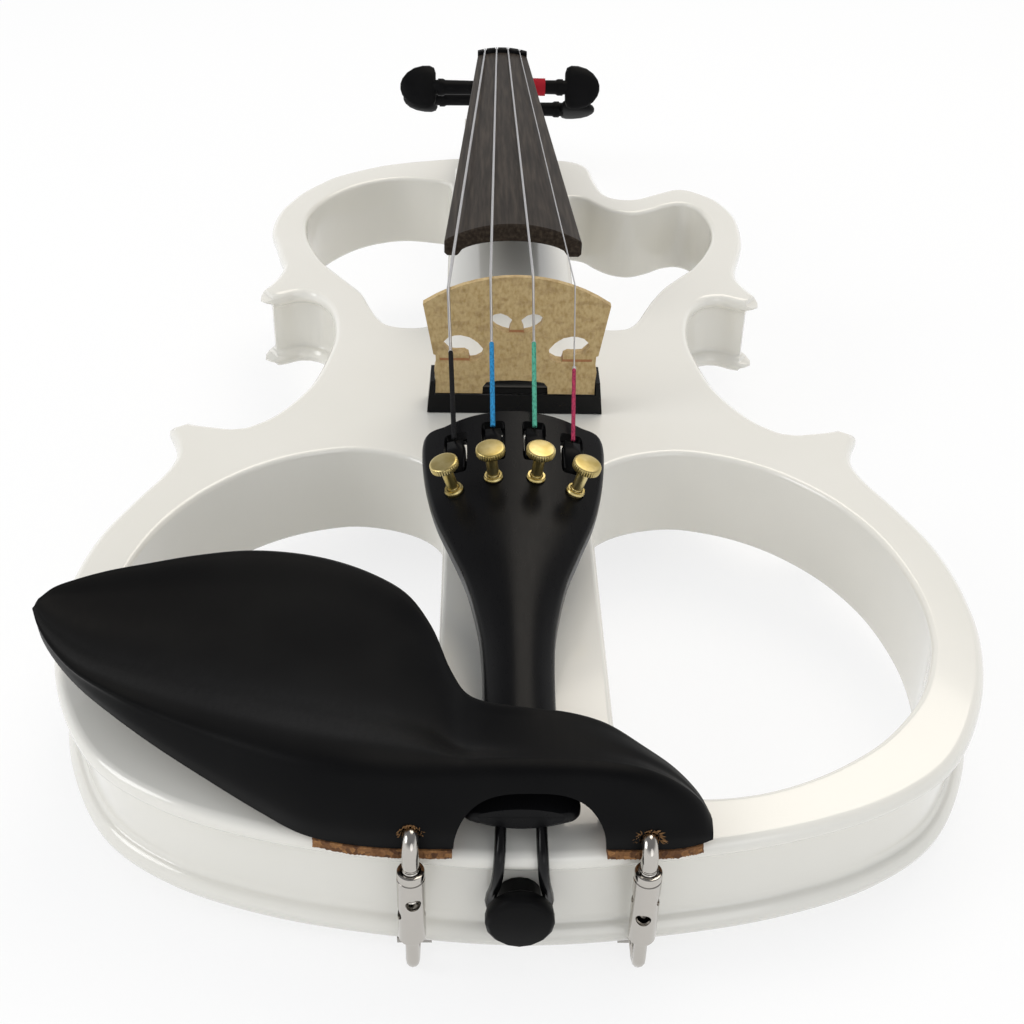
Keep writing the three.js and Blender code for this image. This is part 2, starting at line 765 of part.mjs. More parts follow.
// Plans of the four cutouts; the side along the spine follows the spine's own width.
function cutoutPlans() {
  const lower = [
    ...lowerSpineShares.map((y) => [lowerSpineWidth / 2, y * bodyLength]),
    ...lowerCutoutShares.map(([x, y]) => [x * halfBout, y * bodyLength]),
  ];
  const upper = (shares) => [
    ...upperSpineShares.map((y, i) => {
      return [(upperSpineWidth / 2) * upperSpineFlareShares[i], y * bodyLength];
    }),
    ...shares.map(([x, y]) => [x * halfUpper, y * bodyLength]),
  ];
  const flipped = (pairs) => pairs.map(([x, y]) => [-x, y]);
  const plans = [lower, flipped(lower), upper(upperRightCutoutShares)];
  plans.push(flipped(upper(upperLeftCutoutShares)));
  return plans.map((pairs) => smoothLoop(pairs, cutoutStep));
}

// Wall of the body: rounded flange, cove, recessed rib, cove and rounded flange.
function bodyWall() {
  const upperHalf = [
    ...roundedEdge(flangeRound, 0, -1, 2),
    [0, flangeUnderRound - flangeThickness],
    [flangeUnderRound, -flangeThickness],
    [ribInset, -flangeThickness - coveHeight],
  ];
  const lowerHalf = upperHalf.map(([inset, height]) => [inset, -bodyThickness - height]).reverse();
  return [...upperHalf, ...lowerHalf];
}

// A cutter through the whole body that flares at both faces, which rounds the cutout's edges.
function cutoutCutter(plan) {
  const flare = roundedEdge(cutoutRound, 0, -1, 1).map(([inset, height]) => [-inset, height]);
  const lowerFlare = flare.map(([inset, height]) => [inset, -bodyThickness - height]).reverse();
  const above = [-cutoutRound, cutOverrun];
  const below = [-cutoutRound, -bodyThickness - cutOverrun];
  return levelledSlab(plan, [above, ...flare, ...lowerFlare, below]);
}

// The ridge swells from nothing behind the bridge to its full crown under the fingerboard.
function ridge() {
  const end = bodyLength - tenonLength - joinDepth;
  const steps = 6;
  const rings = [];
  for (let i = 0; i <= steps + 1; i += 1) {
    const share = Math.min(i / steps, 1);
    const height = ridgeHeight * (1 - Math.cos(Math.PI * share)) / 2;
    const station = i > steps ? end : ridgeStart + ridgeRise * share;
    const half = upperSpineWidth / 2 - ridgeMargin;
    const ring = [];
    for (let j = 0; j <= plainSides; j += 1) {
      const side = 1 - (2 * j) / plainSides;
      ring.push(point(half * side, station, height * (1 - side * side)));
    }
    ring.push(point(-half, station, -joinDepth), point(half, station, -joinDepth));
    rings.push(ring);
  }
  return skin(rings);
}

// Side view of the tenon, with its top in the plane of the fingerboard's glue face.
function tenon(gap) {
  const start = bodyLength - tenonLength - gap;
  const end = bodyLength + seatGap + joinDepth;
  return sideSlab([
    [start, -tenonDepth - gap],
    [end, -tenonDepth - gap],
    [end, boardUnderside(end) + (gap > 0 ? cutOverrun : 0)],
    [start, boardUnderside(start) + (gap > 0 ? cutOverrun : 0)],
  ], tenonWidth + 2 * gap);
}

function bodySolid() {
  const whole = joined([levelledSlab(bodyPlan(), bodyWall()), ridge()]);
  const bayHeight = bodyThickness - housingCeiling + cutOverrun;
  const bay = box(housingWidth + 2 * seatGap, housingLength + 2 * seatGap, bayHeight);
  bay.translate(0, housingStation, -housingCeiling - bayHeight / 2);
  const buttonHole = rod(
    buttonShaftRadius + seatGap,
    -cutOverrun,
    ribInset + buttonShaftLength,
    plainSides,
  );
  buttonHole.translate(-tailShift, 0, -buttonHeight);
  return cut(whole, [...cutoutPlans().map(cutoutCutter), tenon(seatGap), bay, buttonHole]);
}

// Neck handle with its heel, from the body's end to the back of the nut.
function neckHandle() {
  const start = bodyLength + seatGap;
  const end = nutStation + nutThickness;
  const heelSteps = 6;
  const rings = [];
  const heelDrop = boardUnderside(start) + bodyThickness - heelShortfall - neckDepthAtHeel;
  const ring = (station, drop) => {
    const share = (station - start) / (end - start);
    const depth = lerp(neckDepthAtHeel, neckDepthAtNut, share) + drop;
    const top = boardUnderside(station) - seatGap;
    const width = boardWidth(Math.min(station, nutStation));
    return backedSection(width, depth, 0.78, plainSides).map(([x, z]) => point(x, station, top + z));
  };
  for (let i = 0; i <= heelSteps; i += 1) {
    const share = 1 - i / heelSteps;
    rings.push(ring(start + heelLength * (1 - share), heelDrop * (1 - Math.sqrt(1 - share * share))));
  }
  rings.push(ring((start + heelLength + end) / 2, 0), ring(end, 0));
  return skin(rings);
}

// The pegbox's own frame: X across, Y along its slope from the back of the nut, Z out of its top edge.
const pegboxFrame = new THREE.Matrix4().makeRotationX(-degrees(pegboxPitch));
pegboxFrame.setPosition(
  0,
  nutStation + nutThickness,
  boardUnderside(nutStation) - seatGap,
);

function pegboxWidth(along) {
  return lerp(nutWidth, pegboxEndWidth, along / pegboxLength);
}

// Height of the pegbox's cheeks over the plane of its frame.
function pegboxTop(along) {
  const rise = pegboxRise * Math.min(1, along / pegboxRiseEnd);
  const fallShare = (along - pegboxFallStart) / (pegboxLength - pegboxFallStart);
  return rise - pegboxFall * Math.max(0, fallShare);
}

function pegboxOuter() {
  const stations = [-pegboxLap, 0, pegboxRiseEnd, pegboxFallStart, pegboxLength];
  return skin(stations.map((along) => {
    const share = Math.max(0, along / pegboxLength);
    const depth = lerp(pegboxDepth, pegboxEndDepth, share) + pegboxTop(along);
    const width = pegboxWidth(Math.max(0, along)) - (along < 0 ? joinDepth : 0);
    const section = along < 0
      ? backedSection(width, neckDepthAtNut / 2, 0.5, plainSides)
      : backedSection(width, depth, 0.5, plainSides);
    const top = along < 0 ? along : pegboxTop(along);
    return section.map(([x, z]) => point(x, along, top + z));
  }));
}

function pegboxCavity() {
  const stations = [cavityStart, cavityEnd];
  return skin(stations.map((along) => {
    const half = pegboxWidth(along) / 2 - pegboxCheek;
    const share = along / pegboxLength;
    const floor = -lerp(pegboxDepth, pegboxEndDepth, share) + pegboxFloor;
    return [[half, cutOverrun], [half, floor], [-half, floor], [-half, cutOverrun]].map(([x, z]) => {
      return point(x, along, z);
    });
  }));
}

// The scroll: a snail of half turns, each a fan from the eye, that narrows in radius and widens in X.
function scrollHalves() {
  const total = scrollHalfTurns * scrollSteps;
  const radiusAt = (i) => lerp(scrollRadius, scrollEyeRadius, Math.sqrt(i / total));
  const halfWidthAt = (i) => lerp(scrollStartWidth, scrollEyeWidth, i / total) / 2;
  const placeAt = (i) => {
    const angle = -Math.PI / 2 + Math.PI * (i / scrollSteps);
    return [radiusAt(i) * Math.cos(angle), radiusAt(i) * Math.sin(angle)];
  };
  const halves = [];
  for (let half = 0; half < scrollHalfTurns; half += 1) {
    const first = half * scrollSteps;
    const eyeWidth = halfWidthAt(first + scrollSteps);
    const rings = [-1, 1].map((side) => {
      const ring = [point(side * eyeWidth, scrollAlong, -scrollDrop)];
      for (let i = first; i <= first + scrollSteps; i += 1) {
        const [y, z] = placeAt(i);
        ring.push(point(side * halfWidthAt(i), scrollAlong + y, z - scrollDrop));
      }
      return ring;
    });
    halves.push(fanPrism(rings[0], rings[1]));
  }
  const eyeEnd = scrollEyeWidth / 2 + joinDepth;
  const eye = rod(scrollEyeRadius, -eyeEnd, eyeEnd, plainSides);
  eye.rotateZ(Math.PI / 2);
  eye.translate(0, scrollAlong, -scrollDrop);
  return [...halves, eye];
}

// A prism between two fans whose first points are their hubs.
function fanPrism(left, right) {
  const positions = [];
  const face = (a, b, c) => positions.push(...a.toArray(), ...b.toArray(), ...c.toArray());
  const count = left.length;
  for (let i = 1; i + 1 < count; i += 1) {
    face(left[0], left[i + 1], left[i]);
    face(right[0], right[i], right[i + 1]);
  }
  for (let i = 0; i < count; i += 1) {
    const next = (i + 1) % count;
    face(left[i], left[next], right[next]);
    face(left[i], right[next], right[i]);
  }
  const geometry = new THREE.BufferGeometry();
  geometry.setAttribute("position", new THREE.Float32BufferAttribute(positions, 3));
  return signedVolume(positions) < 0 ? turnedOut(positions) : geometry;
}

// The part of a peg that passes through the pegbox, with an optional gap all round.
function pegShaft(gap) {
  return [
    [0, -pegTipLength - (gap > 0 ? cutOverrun : 0)],
    [pegTipRadius + gap, -pegTipLength - (gap > 0 ? cutOverrun : 0)],
    [pegShaftRadius + gap, gap > 0 ? pegTipLength + cutOverrun : pegCollarStation],
  ];
}

// Turns a piece made along Y to lie along X, on the given side.
function toSide(geometry, side) {
  return geometry.rotateZ((-side * Math.PI) / 2);
}

function neckSolid() {
  const head = [pegboxOuter(), ...scrollHalves()].map((piece) => piece.applyMatrix4(pegboxFrame));
  const whole = joined([neckHandle(), tenon(0), ...head]);
  const holes = Object.values(pegPlaces).map(({ along, depth, side }) => {
    const hole = turned([...pegShaft(seatGap), [0, pegTipLength + cutOverrun]], coarseSides * 2);
    return toSide(hole, side).translate(0, along, -depth);
  });
  const tools = [pegboxCavity(), ...holes].map((piece) => piece.applyMatrix4(pegboxFrame));
  return cut(whole, tools);
}

// Section of the fingerboard: an arched top over a flat underside.
function boardSection(station, width, edge) {
  const half = width / 2;
  const under = boardUnderside(station);
  const crest = under + edge + arcDrop(fingerboardRadius, half);
  const section = [];
  for (let i = 0; i <= plainSides; i += 1) {
    const x = half * (1 - (2 * i) / plainSides);
    section.push(point(x, station, crest - arcDrop(fingerboardRadius, x)));
  }
  const corner = edge * fingerboardCornerShare;
  section.push(point(-half, station, under + corner), point(-half + corner, station, under));
  section.push(point(half - corner, station, under), point(half, station, under + corner));
  return section;
}

function fingerboardSolid() {
  const end = nutStation - seatGap;
  const board = skin([
    boardSection(boardEndStation, boardWidth(boardEndStation), fingerboardEdge),
    boardSection(end, boardWidth(end), fingerboardEdge),
  ]);
  const hollowSection = (station, rise) => {
    const half = boardWidth(station) / 2 - hollowRim;
    const under = boardUnderside(station);
    const section = [];
    for (let i = 0; i <= coarseSides; i += 1) {
      const side = 1 - (2 * i) / coarseSides;
      section.push(point(half * side, station, under + rise * Math.sqrt(1 - side * side)));
    }
    section.push(point(-half, station, under - cutOverrun), point(half, station, under - cutOverrun));
    return section;
  };
  const start = boardEndStation - cutOverrun;
  const hollow = skin([hollowSection(start, hollowRise), hollowSection(start + hollowLength, seatGap)]);
  return cut(solid(board), [hollow]);
}

// Centre of a string over the nut or the bridge.
function stringAtNut(order) {
  const x = (nutStringSpread * order) / stringSpaces;
  const crest = boardUnderside(nutStation) + fingerboardEdge + arcDrop(fingerboardRadius, nutWidth / 2);
  return point(x, nutStation + nutThickness / 2, crest - arcDrop(fingerboardRadius, x) + stringNutLift);
}

function stringAtBridge(order, radius) {
  const x = (bridgeStringSpread * order) / stringSpaces - tailShift;
  const top = barHeight + seatGap + bridgeHeight - arcDrop(bridgeTopRadius, x);
  return point(x, bridgeStation, top + radius + seatGap);
}

function nutSolid() {
  const under = boardUnderside(nutStation);
  const half = nutWidth / 2;
  const crest = under + fingerboardEdge + arcDrop(fingerboardRadius, half) + nutCrest;
  const ring = (station, inset) => {
    const section = [];
    for (let i = 0; i <= plainSides; i += 1) {
      const x = half * (1 - (2 * i) / plainSides);
      section.push(point(x, station, crest - arcDrop(fingerboardRadius, x) - inset));
    }
    section.push(point(-half, station, under), point(half, station, under));
    return section;
  };
  const block = skin([
    ring(nutStation, nutRound / 4),
    ring(nutStation + nutRound / 2, 0),
    ring(nutStation + nutThickness - nutRound, 0),
    ring(nutStation + nutThickness, nutRound),
  ]);
  const notches = Object.values(stringKinds).map(({ order, wire }) => {
    const at = stringAtNut(order);
    const over = nutThickness / 2 + cutOverrun;
    const groove = joined([
      rod(wire + seatGap, -over, over, coarseSides),
      box(2 * (wire + seatGap), 2 * over, 2 * nutCrest).translate(0, 0, nutCrest),
    ]);
    return geometryOf(groove).translate(at.x, at.y, at.z);
  });
  return cut(solid(block), notches);
}

// A peg along +Y: shaft, collar and dished thumb piece.
function pegSolid() {
  const shaft = turned([
    ...pegShaft(0),
    [pegCollarRadius, pegCollarStation + pegCollarWidth / 3],
    [pegCollarRadius, pegCollarStation + pegCollarWidth],
    [pegShaftRadius, pegHeadStation - joinDepth],
    [pegShaftRadius, pegHeadStation + joinDepth],
    [0, pegHeadStation + joinDepth],
  ], plainSides);
  const rings = pegHeadShares.map(([along, width, thickness]) => {
    const ring = [];
    for (let i = 0; i < plainSides; i += 1) {
      const angle = (i / plainSides) * Math.PI * 2;
      const dish = 1 - pegHeadDish * Math.sin(angle) ** 2;
      const x = (pegHeadThickness / 2) * thickness * Math.sin(angle) * dish;
      const z = (pegHeadWidth / 2) * width * Math.cos(angle);
      ring.push(point(x, pegHeadStation + pegHeadLength * along, z));
    }
    return ring;
  });
  return joined([shaft, skin(rings)]);
}

// Red silk of the E string, wound on its peg beside the pegbox.
function silkWrapSolid() {
  const radius = pegShaftRadius + seatGap;
  const pairs = [[radius, 0], [radius + silkWrapThickness / 2, 0]];
  for (let i = 0; i < silkWrapTurns; i += 1) {
    pairs.push([radius + silkWrapThickness, (silkWrapLength * (i + 1 / 2)) / silkWrapTurns]);
    pairs.push([radius + silkWrapThickness / 2, (silkWrapLength * (i + 1)) / silkWrapTurns]);
  }
  pairs.push([radius, silkWrapLength], [radius, 0]);
  return solid(turned(pairs, plainSides));
}

function barSolid() {
  const half = barWidth / 2;
  const top = barHeight;
  const lip = barHeight + barLipHeight;
  const [outer, inner] = [half - barTaper, half - barTaper - barLipWidth];
  const outline = [
    [-half, 0], [half, 0], [outer, lip], [inner, lip],
    [inner, top], [-inner, top], [-inner, lip], [-outer, lip],
  ];
  const rings = [-barDepth / 2, barDepth / 2].map((y) => outline.map(([x, z]) => point(x, y, z)));
  const groove = box(piezoLength + 2 * seatGap, piezoWidth + 2 * seatGap, 2 * (piezoHeight + seatGap));
  return cut(solid(skin(rings)), [groove.translate(0, -barBehind, barHeight)]);
}

// A closed outline in the XZ plane, given as pairs, as a shape with holes.
function frontShape(outline, holes) {
  const shape = new THREE.Shape(outline.map(([x, z]) => new THREE.Vector2(x, z)));
  holes.forEach((pairs) => {
    shape.holes.push(new THREE.Path(pairs.map(([x, z]) => new THREE.Vector2(x, z))));
  });
  return shape;
}

// The bridge: arched top, wings, waist, two feet, a heart and two kidneys, thinner towards the top.
function bridgeSolid() {
  const half = bridgeTopWidth / 2;
  const scaled = (pairs, side = 1) => pairs.map(([x, z]) => [side * x * half, z * bridgeHeight]);
  const top = [];
  const topSteps = 14;
  for (let i = 0; i <= topSteps; i += 1) {
    const x = half * ((2 * i) / topSteps - 1);
    top.push([x, bridgeHeight - arcDrop(bridgeTopRadius, x)]);
  }
  const footScale = bridgeFootWidth / bridgeTopWidth / bridgeSideShares.at(-1)[0];
  const sides = bridgeSideShares.slice(1).map(([x, z]) => [x * footScale, z]);
  const outline = [
    ...top,
    ...scaled(sides),
    ...scaled(bridgeArchShares),
    ...scaled(bridgeArchShares.slice(0, -1), -1).reverse(),
    ...scaled(sides, -1).reverse(),
  ];
  const openings = [heartShares, kidneyShares].flatMap((pairs) => [scaled(pairs), scaled(pairs, -1)]);
  const shape = frontShape(outline.reverse(), openings);
  const geometry = new THREE.ExtrudeGeometry(shape, { depth: 1, bevelEnabled: false, curveSegments: 1 });
  const place = geometry.attributes.position;
  for (let i = 0; i < place.count; i += 1) {
    const height = place.getY(i);
    const thick = lerp(bridgeFootThickness, bridgeTopThickness, height / bridgeHeight);
    place.setXYZ(i, place.getX(i), (1 / 2 - place.getZ(i)) * thick, height);
  }
  return solid(geometry);
}

// Height of the tailpiece's top on its middle line, which bends down at the tail.
function tailpieceTop(station) {
  const share = (station - tailpieceStation) / tailpieceLength;
  const sinkShare = Math.max(0, 1 - share / tailpieceSinkShare);
  return lerp(tailpieceTailHeight, tailpieceHeadHeight, share) - tailpieceSink * sinkShare ** 2;
}

// Frame on the crowned top of the tailpiece at one string: Y forward along the top, Z out of it.
function tunerFrame(order) {
  const outer = Math.abs(order) > 1;
  const offset = (Math.sign(order) * (outer ? tunerOuterSpread : tunerInnerSpread)) / 2;
  const station = outer ? tunerOuterHook : tunerInnerHook;
  const half = tailpieceWidth / 2;
  const lean = Math.atan((2 * tailpieceCrown * offset) / (half * half));
  const pitch = Math.atan((tailpieceHeadHeight - tailpieceTailHeight) / tailpieceLength);
  const height = tailpieceTop(station) - tailpieceCrown * (offset / half) ** 2;
  const frame = new THREE.Matrix4().makeRotationX(pitch);
  frame.multiply(new THREE.Matrix4().makeRotationY(lean));
  frame.setPosition(offset - tailShift, station, height);
  return frame;
}

function tailpieceSolid() {
  const rings = tailpieceSectionShares.map(([along, width, crown, centre, edge]) => {
    const station = tailpieceStation + along * tailpieceLength;
    const half = (width * tailpieceWidth) / 2;
    const drop = crown * tailpieceCrown;
    const top = [];
    const under = [];
    for (let i = 0; i <= plainSides; i += 1) {
      const side = 1 - (2 * i) / plainSides;
      const height = tailpieceTop(station) - drop * side * side;
      const thick = lerp(edge, centre, 1 - side * side) * tailpieceThickness;
      const x = half * side - tailShift;
      top.push(point(x, station, height));
      under.unshift(point(x, station, height - thick));
    }
    return [...top, ...under];
  });
  const tools = [];
  Object.values(stringKinds).forEach(({ order }) => {
    const frame = tunerFrame(order);
    const depth = tailpieceThickness + 2 * cutOverrun;
    const slot = box(slotWidth, slotAhead + slotBehind, depth);
    slot.translate(0, (slotAhead - slotBehind) / 2, 0);
    const pins = rod(leverPinRadius + runningGap, -leverPinLength / 2, leverPinLength / 2, coarseSides);
    pins.scale(1, 1 + (2 * seatGap) / leverPinLength, 1);
    toSide(pins, 1).translate(0, -leverPivotBehind, -leverPivotDepth);
    const hole = standing(rod(sleeveRadius + seatGap, -depth / 2, depth / 2, plainSides));
    hole.translate(0, -screwBehind, 0);
    tools.push(...[slot, pins, hole].map((piece) => piece.applyMatrix4(frame)));
  });
  tools.push(...[-1, 1].map((side) => cordHole(side)));
  return cut(solid(skin(rings)), tools);
}

// A lever in its slot: hook for the string, pivot pins and an arm that runs back under the screw.
function leverSolid() {
  const arm = leverArmDepth;
  const hookBehind = leverPivotBehind / 2;
  const outline = [
    [leverNose, leverProud], [-hookBehind, leverProud],
    [-leverPivotBehind - leverPinRadius, -leverPivotDepth + leverPinRadius],
    [-slotBehind + leverArmThickness, -arm + leverTaper],
    [-slotBehind - leverArmThickness, -arm],
    [-screwBehind - leverArmThickness, -arm],
    [-screwBehind - leverArmThickness, -arm - leverArmThickness],
    [-slotBehind, -arm - leverArmThickness],
    [-leverPivotBehind + leverPinRadius, -leverPivotDepth - leverPinRadius * 2],
    [leverNose, -leverPivotDepth],
  ];
  const pins = toSide(rod(leverPinRadius, -leverPinLength / 2, leverPinLength / 2, coarseSides), 1);
  pins.translate(0, -leverPivotBehind, -leverPivotDepth);
  return joined([sideSlab(outline, leverWidth), pins]);
}

function shankSolid() {
  const tip = -leverArmDepth + seatGap;
  return solid(standing(rod(screwShankRadius, tip, screwShankAbove, plainSides)));
}

// The knurled head on the shank's end.
function screwHeadSolid() {
  const shape = new THREE.Shape();
  for (let i = 0; i < knurlTeeth * 2; i += 1) {
    const angle = (i / (knurlTeeth * 2)) * Math.PI * 2;
    const radius = screwHeadRadius - (i % 2 ? knurlDepth : 0);
    const [x, y] = [radius * Math.cos(angle), radius * Math.sin(angle)];
    if (i === 0) shape.moveTo(x, y);
    else shape.lineTo(x, y);
  }
  shape.closePath();
  const knurl = new THREE.ExtrudeGeometry(shape, { depth: screwHeadThickness, bevelEnabled: false });
  const inner = screwHeadRadius - knurlDepth;
  const top = standing(turned([
    [0, screwHeadThickness - joinDepth],
    [inner, screwHeadThickness - joinDepth],
    [inner, screwHeadThickness],
    [inner - screwHeadBevel, screwHeadThickness + screwHeadBevel],
    [0, screwHeadThickness + screwHeadBevel],
  ], knurlTeeth));
  return joined([knurl, top]);
}

function sleeveSolid() {
  const bore = screwShankRadius + runningGap;
  const under = -tailpieceHeadThickness;
  return solid(standing(turned([
    [bore, under],
    [sleeveRadius, under],
    [sleeveRadius, seatGap],
    [sleeveFlangeRadius, seatGap],
    [sleeveFlangeRadius, seatGap + sleeveFlangeHeight / 3],
    [sleeveRadius, seatGap + sleeveFlangeHeight],
    [bore, seatGap + sleeveFlangeHeight],
    [bore, under],
  ], plainSides)));
}

// One leg of the tail cord, from inside the tailpiece over the body's edge to the button's neck.
function cordLeg(side) {
  return cordShares.map(([x, y, z]) => {
    return point(side * x * cordLoopRadius - tailShift, y * tailpieceStation, z * buttonHeight);
  });
}

function cordHole(side) {
  const [inner, outer] = cordLeg(side);
  const beyond = outer.clone().sub(inner).normalize().multiplyScalar(2 * cutOverrun);
  const start = inner.clone().sub(beyond.clone().setLength(seatGap));
  return tube([start, outer.clone().add(beyond)], cordRadius + seatGap, coarseSides);
}

function tailCordSolid() {
  const loopStation = ribInset - buttonNeckLength / 2 - seatGap;
  const knots = [...cordLeg(1)];
  const steps = 10;
  for (let i = 0; i <= steps; i += 1) {
    const angle = Math.PI * (i / steps);
    const x = cordLoopRadius * Math.cos(angle) - tailShift;
    knots.push(point(x, loopStation, -buttonHeight - cordLoopRadius * Math.sin(angle)));
  }
  knots.push(...cordLeg(-1).reverse());
  return solid(tube(knots, cordRadius, coarseSides));
}

function buttonSolid() {
  const rib = ribInset - seatGap;
  const neckEnd = rib - buttonNeckLength;
  const faceEnd = neckEnd - buttonHeadThickness;
  return solid(turned([
    [0, rib + buttonShaftLength - joinDepth],
    [buttonShaftRadius, rib + buttonShaftLength - joinDepth],
    [buttonShaftRadius, rib],
    [buttonNeckRadius, rib],
    [buttonNeckRadius, neckEnd],
    [buttonHeadRadius - buttonHeadRound, neckEnd],
    [buttonHeadRadius, neckEnd - buttonHeadRound],
    [buttonHeadRadius, faceEnd + buttonHeadRound],
    [buttonHeadRadius - buttonHeadRound, faceEnd],
    [0, faceEnd],
  ].reverse(), fineSides).translate(-tailShift, 0, -buttonHeight));
}

// One section of the chin rest in its YZ plane: foot, front face, crest, dish, far edge and underside.
function chinSection(row) {
  const [across, front, low, crest, high, dish, far, farHigh, foot] = row;
  const x = across * chinReach;
  const y = (share) => share * chinDepth;
  const z = (share) => share * chinHeight;
  const [y0, z0, y1, z1] = [y(front), z(low), y(crest), z(high)];
  const [zd, y2, z2] = [z(dish), y(far), z(farHigh)];
  const under = Math.max(z0, zd - chinThickness);
  const footBack = Math.min(y0 + chinFootDepth * foot, lerp(y0, y2, 0.8));
  const rise = Math.min(footBack + chinEdge * foot, lerp(footBack, y2, 1 / 2));
  const edge = Math.min(chinEdge, (z2 - z0) * 0.8);
  return [
    [y0, z0],
    [lerp(y0, y1, 0.12) - (z1 - z0) * 0.04, lerp(z0, z1, 0.35)],
    [lerp(y0, y1, 0.45), lerp(z0, z1, 0.75)],
    [lerp(y0, y1, 0.8), lerp(z0, z1, 0.95)],
    [y1 + (y2 - y1) * 0.06, z1],
    [lerp(y1, y2, 0.16), lerp(z1, zd, 0.25)],
    [lerp(y1, y2, 0.34), lerp(z1, zd, 0.85)],
    [lerp(y1, y2, 0.55), zd],
    [lerp(y1, y2, 0.8), lerp(zd, z2, 0.5)],
    [lerp(y1, y2, 0.97), z2],
    [y2, z2 - edge * 0.35],
    [lerp(y1, y2, 0.97), z2 - edge],
    [lerp(rise, y2, 0.6), lerp(under, z2 - edge, 0.45)],
    [rise, under],
    [footBack, z0],
  ].map(([py, pz]) => point(x, py, pz));
}

// The sections run smoothly across the instrument: each point of the section follows its own curve.
function chinRestSkin() {
  const sections = chinSectionShares.map(chinSection);
  const between = 2;
  const count = (sections.length - 1) * between;
  const tracks = sections[0].map((_, i) => {
    return new THREE.CatmullRomCurve3(sections.map((section) => section[i]), false, "centripetal");
  });
  const rings = [];
  for (let i = 0; i <= count; i += 1) {
    const level = tracks[0].getPoint(i / count).x;
    rings.push(tracks.map((track) => track.getPoint(i / count).setX(level)));
  }
  return skin(rings);
}

// The opening over the tail, wide and low, that the tailpiece and its cord pass through.
function archCutter() {
  const rings = [-cutOverrun, archLength].map((station, i) => {
    const height = archHeight + i * archRise;
    const ring = backedSection(2 * archHalfWidth, height, 0.68, fineSides).map(([x, z]) => {
      return point(x, station, -z);
    });
    ring.push(point(-archHalfWidth, station, -cutOverrun), point(archHalfWidth, station, -cutOverrun));
    return ring;
  });
  return skin(rings);
}

function chinRestSolid() {
  const holes = [-1, 1].map((side) => {
    const hole = rod(hookRadius + seatGap, -cutOverrun, hookReach + seatGap, plainSides);
    return hole.translate((side * clampSpread) / 2, 0, side < 0 ? hookHeightLeft : hookHeightRight);
  });
  return cut(solid(chinRestSkin()), [archCutter(), ...holes]);
}

// Front edge of the chin rest's feet at a place across.
function chinFront(x) {
  const share = x / chinReach;
  const above = chinSectionShares.findIndex(([across]) => across >= share);
  const [before, after] = [chinSectionShares[above - 1], chinSectionShares[above]];
  const part = (share - before[0]) / (after[0] - before[0]);
  return lerp(before[1], after[1], part) * chinDepth;
}

function corkSolid(start, end, depthAtEnd) {
  const steps = 4;
  const [front, back] = [[], []];
  for (let i = 0; i <= steps; i += 1) {
    const x = lerp(start, end, i / steps);
    const depth = lerp(chinFootDepth, depthAtEnd, i / steps);
    front.push([x, chinFront(x) - corkInset]);
    back.unshift([x, chinFront(x) + depth]);
  }
  const rings = [seatGap, seatGap + corkThickness].map((height) => {
    return [...front, ...back].map(([x, y]) => point(x, y, height));
  });
  return solid(skin(rings));
}

const clampX = clampSpread / 2;
const clampY = -clampStandoff;

// Upper rod of a clamp: out of the barrel, up, and bent into the chin rest.
function hookSolid(x) {
  const hookHeight = x < 0 ? hookHeightLeft : hookHeightRight;
  const centre = point(x, clampY + hookBend, hookHeight - hookBend);
  const bend = bendKnots(centre, point(0, -1, 0), point(0, 0, 1), hookBend, 4);
  const knots = [point(x, clampY, -hookLowerEnd), ...bend, point(x, hookReach, hookHeight)];
  return solid(tube(knots, hookRadius, plainSides));
}

// Turnbuckle barrel along Z with two cross holes for the key, at right angles to each other.
function barrelSolid(turnDegrees) {
  const end = barrelLength - barrelRim;
  const barrel = standing(turned([
    [barrelBoreRadius, 0],
    [barrelRadius - barrelRim, 0],
    [barrelRadius, barrelRim],
    [barrelRadius, end],
    [barrelRadius - barrelRim, barrelLength],
    [barrelBoreRadius, barrelLength],
    [barrelBoreRadius, 0],
  ], fineSides));
  const holes = [0, 1].map((i) => {
    const hole = rod(barrelHoleRadius, -barrelRadius - cutOverrun, barrelRadius + cutOverrun, coarseSides);
    hole.rotateZ(degrees(turnDegrees + 90 * i));
    return hole.translate(0, 0, -barrelLength * barrelHoleShare - barrelHoleStep * i);
  });
  return cut(solid(barrel.translate(0, 0, -barrelLength)), holes);
}

// Lower rod of a clamp: out of the barrel, down, and bent under the back into a flat foot.
function clampFootSolid(x) {
  const level = -bodyThickness - seatGap - footRodRadius;
  const centre = point(x, clampY + footBend, level + footBend);
  const bend = bendKnots(centre, point(0, -1, 0), point(0, 0, -1), footBend, 4);
  const knots = [point(x, clampY, -footRodTop), ...bend, point(x, footPadStart + joinDepth, level)];
  const padTop = -bodyThickness - 2 * seatGap - footCorkThickness;
  const pad = box(footPadWidth, footPadLength, footPadThickness);
  pad.translate(x, footPadStart + footPadLength / 2, padTop - footPadThickness / 2);
  return joined([tube(knots, footRodRadius, plainSides), pad]);
}

function footCorkSolid(x) {
  const start = footPadStart + joinDepth + 2 * seatGap;
  const end = footPadStart + footPadLength;
  const pad = box(footPadWidth, end - start, footCorkThickness);
  return solid(pad.translate(x, (start + end) / 2, -bodyThickness - seatGap - footCorkThickness / 2));
}

const panelTop = -bodyThickness - seatGap;
const panelBottom = panelTop - panelThickness;
const bayX = -housingWidth / 2 + housingWall + batteryBayWidth / 2;
const doorWidth = batteryBayWidth - 2 * doorMargin;
const doorLength = housingLength - 2 * housingWall - 2 * doorMargin;
const controlX = (batteryBayWidth + housingWall) / 2;

